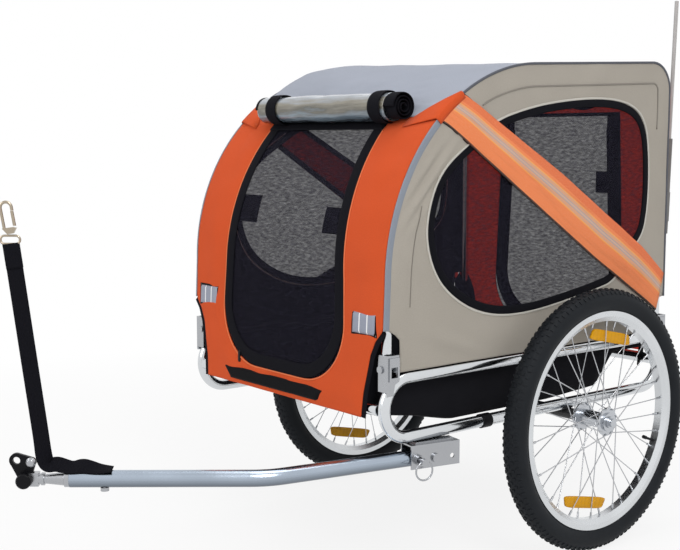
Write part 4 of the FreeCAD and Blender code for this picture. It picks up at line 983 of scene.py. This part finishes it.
def corner_gusset(end, side, sign):
    """Black lining behind each bracket: a sheet that bows inward from the end panel to the side panel."""
    z = np.linspace(312, 464, 20)[:, None]
    share = np.linspace(0, 1, 18)[None, :]
    edge_y = np.interp(z, [308, 350, 417, 442, 464], [237, 241, 256, 268, 286])
    front_x = np.interp(z, [308, 541], [HEM_X, FACE_X]) - 4
    side_y = np.interp(z, [312, 380, 392, 464], [262, 262, 284, 286])
    side_x = np.interp(z, [312, 440, 464], [446, 449, 470])
    x = bowed(front_x, np.interp(z, [312, 464], [452, 466]), side_x, share)
    y = bowed(edge_y, np.interp(z, [312, 417, 464], [246, 254, 284]), side_y, share)
    if end == "rear":
        x = 2 * MIDDLE_X - x
    sewn("%s_%s_gusset" % (end, side), grid(x, sign * y, z), "black_cloth", grid(share * 90, z),
         ["floor_tub_cloth"], "frame", "black_cloth", soft=True, flip=(end == "rear") != (sign > 0))


for end in ("front", "rear"):
    for side, sign in SIDES:
        corner_gusset(end, side, sign)

# Floor tub: a sewn trough hung between the upper rails
TUB_HALF = 268.0
TUB_TOP = 375.0
TUB_REAR_TOP = 356.0
TUB_LOW = 277.0
TUB_NOSE = 308.0
TUB_STEP = 348.0
TUB_FRONT = 468.0
TUB_REAR = -263.0
TUB_SPREAD = 1.45
TUB_ROUND = 4.0


def floor_tub():
    """A trough: down one wall, round its lower edge, over the sagging floor and up the other wall.

    The floor has a step over the rear, a long sag and a rise towards the front wall.
    """
    x = np.linspace(TUB_FRONT, TUB_REAR, 90)[:, None]
    around = np.linspace(-1, 1, 80)[None, :]
    way = np.sign(around)
    reach = np.abs(around) * TUB_SPREAD
    y = TUB_HALF * way * np.minimum(1, reach)
    rise = np.clip((np.abs(around) - 1 / TUB_SPREAD) / (1 - 1 / TUB_SPREAD), 0, 1)
    corner = np.exp(-((reach - 1) / 0.08) ** 2)
    low = np.interp(x, [-264, -150, -95, 40, 300, 385, 470],
                    [TUB_STEP, TUB_STEP, TUB_LOW + 8, TUB_LOW, TUB_LOW, TUB_LOW + 18, TUB_NOSE])
    z = low + (TUB_TOP - low) * rise + corner * TUB_ROUND
    share = np.clip((x - TUB_REAR) / (TUB_FRONT - TUB_REAR), 0, 1)
    sag = -3.0 * np.sin(np.pi * share) * (1 - (y / TUB_HALF) ** 2)
    wall = folds(x, z * 1.5, 2.0, seed=21, reach=120) * (rise > 0) * np.sin(np.pi * rise)
    y = y - way * (corner * TUB_ROUND + np.abs(wall))
    sewn("floor_tub_cloth", grid(x, y, z + np.maximum(sag, -0.6)), "black_cloth", grid(x, around * 400),
         ["left_side_loop", "right_side_loop"], "frame", "black_cloth", ["floor_tub"], flip=True)
    y = np.linspace(-TUB_HALF, TUB_HALF, 40)
    z = np.linspace(TUB_NOSE, TUB_TOP, 10)[:, None]
    bow = folds(y, z, 1.0, seed=22) * np.sin(np.pi * (z - TUB_NOSE) / (TUB_TOP - TUB_NOSE))
    sewn("tub_front_wall", grid(TUB_FRONT + bow * 0.5, y, z), "black_cloth", grid(y, z), ["floor_tub_cloth"],
         "frame", "black_cloth")
    path = grid(TUB_REAR, y, (TUB_STEP + TUB_REAR_TOP) / 2)
    tape("tub_rear_lip", path, (-1, 0, 0), (TUB_REAR_TOP - TUB_STEP, 2.2), "binding", "frame")
    for side, sign in SIDES:
        path = grid(np.linspace(TUB_FRONT - 2, TUB_REAR + 2, 80), sign * (TUB_HALF + 0.6), TUB_TOP - 4)
        tape("tub_%s_hem" % side, path, (0, sign, 0), (14, 2.6), "binding", "frame")


def tub_skirt(side, sign):
    """Black cloth from the tub's hem up inside the rail to the side panel's foot."""
    x = np.linspace(448, -252, 60)[:, None]
    profile = np.array([(TUB_HALF + 0.5, 368), (TUB_HALF + 0.8, 380), (TUB_HALF + 2, 387),
                        (TUB_HALF + 6, 389.3), (SIDE_Y - 8, 389.6), (SIDE_Y - 2.4, 391), (SIDE_Y - 1.6, 396)])
    points = grid(x, sign * profile[:, 0][None], profile[:, 1][None])
    uv = grid(x, run_along(profile)[None])
    skirt = sheet_grid("tub_%s_skirt" % side, points, "black_cloth", uv, thick=0, flip=sign > 0)
    cloth_sheet(skirt)
    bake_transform(skirt)


floor_tub()
for side, sign in SIDES:
    tub_skirt(side, sign)

# Rolled rain covers with their straps
STRAP_AT = 153.0
BAND_SIZE = (32.0, 1.9)
NEAR_END = 27.0
FAR_END = 5.0
COIL_TURN = 7 * np.pi
BAND_OPEN = 0.55


def around_roll(turn):
    """The outward direction at each angle round a roll, which lies across the trailer."""
    return grid(np.cos(turn), 0.0, np.sin(turn))


def rolled_cover(end, facing, start, seed):
    """A rolled sheet: the section spirals in by one thickness and the surface is dented along its length."""
    low, high = (np.array(corner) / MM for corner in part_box(end + "_roll"))
    middle = (low + high) / 2 - [axle_x / MM, 0, 0]
    _, half, radius = (high - low) / 2
    angle = np.linspace(0, 2 * np.pi, 64)[None, :]
    y = np.linspace(FAR_END - half, half - NEAR_END, 110)[:, None]
    dent = folds(angle * 22, y, 1.4, seed=seed, reach=70) * (1 - (y / half) ** 8)
    pinch = sum(np.exp(-((y - sign * STRAP_AT) / 16) ** 2) for _, sign in SIDES)
    size = radius - 0.9 - 1.6 * angle / (2 * np.pi) - pinch * 0.7 + np.clip(dent, -2.5, 0.8)
    x = middle[0] + size * np.cos(angle + start)
    z = middle[2] + size * np.sin(angle + start)
    uv = grid(y, angle / (2 * np.pi) / MM)
    roll = sheet_grid(end + "_roll_vinyl", grid(x, y + middle[1], z), "vinyl", uv, thick=0.8, flip=True)
    dress(roll, "frame", [end + "_roll"], soft=True)
    # Black bound ends, wound in a flat spiral
    turn = np.linspace(0, COIL_TURN, 150)
    out = around_roll(turn)
    coil = (radius - 1.4 - (radius - 6) * turn / COIL_TURN)[:, None]
    for (side, sign), wide in zip(SIDES, (NEAR_END + 1, FAR_END + 1)):
        path = middle + [0, sign * (half - wide / 2), 0] + coil * out
        tape("%s_roll_%s_end" % (end, side), path, out, (wide, 2.7, 10), "binding", "frame", soft=True)
    # Straps round the roll, open where it lies on the cover
    out = around_roll(np.linspace(facing + BAND_OPEN, facing + 2 * np.pi - BAND_OPEN, 50))
    for side, sign in SIDES:
        path = middle + [0, sign * STRAP_AT, 0] + (radius + 1.2) * out
        tape("%s_%s_roll_band" % (end, side), path, out, BAND_SIZE, "webbing", "frame",
             ["roll_straps"], soft=True)


rolled_cover("front", math.radians(227), 2.2, 31)
rolled_cover("rear", 0.0, 0.6, 32)

# Trim on the panels: reflective patches, hook tape, door tabs and zip pull
PATCH_Y = 240.0
PATCH_Z = 470.0
PATCH_EDGE = 3.0


def cover_patch(name, y_span, z_span, to_run, paint, lift, body="frame", taper=0.0,
                columns=16):
    """A patch sewn on the cover between two heights, thinner at its edges, its foot drawn in by the taper."""
    (y0, y1), (z0, z1) = y_span, z_span
    z = np.linspace(z0, z1, 8)[:, None]
    share = np.linspace(0, 1, columns)[None, :]
    draw = taper * (z1 - z) / (z1 - z0)
    y = (y0 + draw) * (1 - share) + (y1 - draw) * share
    edge = np.minimum(np.minimum(share, 1 - share) * columns, 1)
    edge = edge * np.clip((z - z0) / PATCH_EDGE, 0, 1) * np.clip((z1 - z) / PATCH_EDGE, 0, 1)
    points, _ = on_cover(y, to_run(z), lift * (0.35 + 0.65 * edge))
    patch = sheet_grid(name, points, paint, grid(y - y0, z - z0), thick=1.0, flip=to_run is rear_run)
    return dress(patch, body, soft=True)


def span(middle, half):
    return (middle - half, middle + half)


for side, sign in SIDES:
    patch = cover_patch(side + "_patch", span(sign * PATCH_Y, 31), span(PATCH_Z, 19), front_run, "patch", 3.6)
    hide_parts("front_patches")
    cover_patch(side + "_patch_backing", span(sign * PATCH_Y, 33.5), span(PATCH_Z, 21.5), front_run,
                "hook_tape", 2.4)
cover_patch("front_hook_tape", (-182, 146), (316, 340), front_run, "hook_tape", 4.5, taper=26, columns=40)
for end, to_run, up in (("front", front_run, 0), ("rear", rear_run, 50)):
    for side, y_span, low, high in (("left", (108, 155), 615, 661), ("right", (-165, -95), 623, 674)):
        cover_patch("%s_%s_tab" % (end, side), y_span, (low + up, high + up), to_run, "hook_tape", -2.6,
                    end + "_flap")
cover_patch("front_zip_pull", (-131, -125), (350, 374), front_run, "black_plastic", 3.4, "front_flap")

# Tyre tread: rows of blocks round each tyre, each with its lean, count, width, length and shift
BLOCK_ROWS = [(0.0, 96, 5.5, 6.2, 0.0), (0.36, 96, 6.0, 6.0, 0.5), (-0.36, 96, 6.0, 6.0, 0.5),
              (0.78, 120, 7.5, 4.6, 0.0), (-0.78, 120, 7.5, 4.6, 0.0)]
BLOCK_TAPER = 0.82
BLOCK_HIGH = 1.6
BLOCK_SUNK = -1.5


def tyre_tread(side, sign):
    """Blocks stand on the tyre: each is a small box, wide across and long round, tapered outward."""
    cube = np.array([(a, b, c) for c in (0, 1) for a, b in ((-1, -1), (1, -1), (1, 1), (-1, 1))], float)
    box_faces = np.array([(0, 3, 2, 1), (4, 5, 6, 7), (0, 1, 5, 4), (1, 2, 6, 5), (2, 3, 7, 6), (3, 0, 4, 7)])
    taper = np.where(cube[:, 2] > 0, BLOCK_TAPER, 1.0)
    reach = TYRE_SECTION + np.where(cube[:, 2] > 0, BLOCK_HIGH, BLOCK_SUNK)
    rows = []
    for lean, count, wide, long, shift in BLOCK_ROWS:
        turn = (np.arange(count) + shift) * 2 * np.pi / count
        tilt = lean + cube[:, 0] * taper * wide / 2 / TYRE_SECTION
        radius = TYRE_R - TYRE_SECTION + reach * np.cos(tilt)
        angle = turn[:, None] + (cube[:, 1] * taper * long / 2 / TYRE_R)[None]
        y = WHEEL_Y * sign + reach * np.sin(tilt)
        ring = grid(radius * np.cos(angle), y, WHEEL_Z + radius * np.sin(angle))
        rows.append(ring.reshape(-1, 3))
    points = np.vstack(rows)
    faces = (np.arange(len(points) // 8)[:, None, None] * 8 + box_faces[None]).reshape(-1, 4)
    tread = make(side + "_tread", points, faces, "rubber", smooth=False, flip=True)
    dress(tread, side + "_wheel")


LENS_HALF = 58.0
LENS_RADIUS = 159.0
LENS_WIDE = 11.0
LENS_LEAN = math.radians(12)
LENS_LAYERS = np.array([(0.0, -1.0), (0.94, -1.0), (1.0, -0.75), (1.0, 0.75), (0.94, 1.0), (0.0, 1.0)])


def spoke_reflector(side):
    """Amber lens: a rounded slab, narrower at its outer edge, between the two spoke layers."""
    low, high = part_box(side + "_reflectors")
    half_y = (high[1] - low[1]) / 2 / MM - 0.3
    mid_y = (high[1] + low[1]) / 2 / MM
    angle = np.linspace(0, 2 * np.pi, 48, endpoint=False)
    u = signed_power(np.cos(angle), 0.32)
    v = signed_power(np.sin(angle), 0.32)
    size, depth = LENS_LAYERS[:, :1], LENS_LAYERS[:, 1:]
    x = LENS_HALF * u[None] * size * (1 - 0.07 * v[None])
    z = LENS_RADIUS + LENS_WIDE * v[None] * size
    for name, way in (("upper", 1), ("lower", -1)):
        turned_x = x * math.cos(LENS_LEAN) - way * z * math.sin(LENS_LEAN)
        turned_z = x * math.sin(LENS_LEAN) + way * z * math.cos(LENS_LEAN)
        points = grid(turned_x, mid_y + depth * half_y, WHEEL_Z + turned_z)
        lens = sheet_grid("%s_%s_reflector" % (side, name), points, "amber", grid(x, z), closed=True, thick=0,
                          flip=way > 0)
        dress(lens, side + "_wheel", [side + "_reflectors"])


def turned(name, profile, centre, axis, paint, body, count=28):
    """A profile of (along, radius) turned about an axis through the centre."""
    axis = unit(np.asarray(axis, float))
    side_way = unit(np.cross(axis, (0.3, 0.2, 0.9)))
    other = np.cross(axis, side_way)
    angle = np.linspace(0, 2 * np.pi, count, endpoint=False)[:, None]
    ring = np.cos(angle) * side_way + np.sin(angle) * other
    along, radius = np.array(profile, float).T[:, :, None, None]
    points = np.asarray(centre) + along * axis + radius * ring
    piece = make(name, points.reshape(-1, 3), quads(len(profile), count, False, True), paint)
    dress(piece, body)


VALVE = [(-1, 0), (-1, 3.2), (4, 3.2), (5, 2.6), (24, 2.6), (25, 3.6), (34, 3.6), (36, 2.4), (36, 0)]
VALVE_REACH = 189
VALVE_WAY = (0.931, 0, 0.365)
for side, sign in SIDES:
    tyre_tread(side, sign)
    spoke_reflector(side)
    foot = (-VALVE_REACH * VALVE_WAY[0], sign * WHEEL_Y, WHEEL_Z - VALVE_REACH * VALVE_WAY[2])
    turned(side + "_valve", VALVE, foot, VALVE_WAY, "black_plastic", side + "_wheel")

# Bolt with its washer through the hitch tongue
TONGUE_BOLT = [(3, 0), (3, 8.2), (4.4, 8.2), (4.4, 6.2), (9, 6.2), (9.8, 5), (9.8, 0)]
turned("tongue_bolt", TONGUE_BOLT, at_bar_end(62.0, 0.0, 28.0), BAR_LEFT, "bracket", "tongue")

# Floor, light and world
FLOOR_REACH = 9.0
corners = [(a * FLOOR_REACH, b * FLOOR_REACH, 0) for a, b in ((-1, -1), (1, -1), (1, 1), (-1, 1))]
floor_mesh = bpy.data.meshes.new("floor")
floor_mesh.from_pydata(corners, [], [(0, 1, 2, 3)])
floor = bpy.data.objects.new("floor", floor_mesh)
floor.location.z = -0.002
bpy.context.scene.collection.objects.link(floor)


def backdrop_rays(paint):
    """1 for the rays that show the white background: from the camera, off gloss and through glass."""
    kinds = ("Is Camera Ray", "Is Glossy Ray", "Is Transmission Ray")
    camera_ray, glossy_ray, through_ray = [paint.add("LightPath", {}, {}, out=kind) for kind in kinds]
    return (camera_ray + glossy_ray + through_ray).clamp()


ground = Paint("pale_floor")
(floor_x, floor_y, _), _ = ground.place()
fade = ((floor_x * floor_x + floor_y * floor_y - 1.0) * 0.25).clamp()
matt = ground.add("BsdfDiffuse", {}, {"Color": grey(0.9)})
white = ground.add("Emission", {}, {"Color": grey(1.0), "Strength": 1.0})
blended = ground.add("MixShader", {}, {0: (fade * 0.15 + 0.85) * backdrop_rays(ground), 1: matt, 2: white})
ground.join(ground.tree.nodes["Material Output"].inputs[0], blended)
floor_mesh.materials.append(ground.material)

world = bpy.data.worlds.new("studio")
bpy.context.scene.world = world
sky = Paint("studio", world)
background = sky.tree.nodes["Background"]
sky.join(background.inputs["Color"], grey(1.0))
sky.join(background.inputs["Strength"], backdrop_rays(sky) * 0.5 + 0.5)


def lamp(name, at, aim, power, size):
    data = bpy.data.lights.new(name, "AREA")
    data.energy = power
    data.size = size
    light = bpy.data.objects.new(name, data)
    light.location = at
    light.rotation_euler = (Vector(aim) - Vector(at)).to_track_quat("-Z", "Y").to_euler()
    bpy.context.scene.collection.objects.link(light)


lamp("key", (1.2, 2.9, 3.0), (-0.1, 0, 0.5), 58, 1.6)
lamp("front_fill", (3.2, -0.6, 1.8), (0, 0, 0.5), 30, 1.8)
lamp("top", (-0.6, 0.2, 3.6), (-0.2, 0, 0.4), 30, 2.0)
bpy.context.scene.view_settings.view_transform = "Standard"
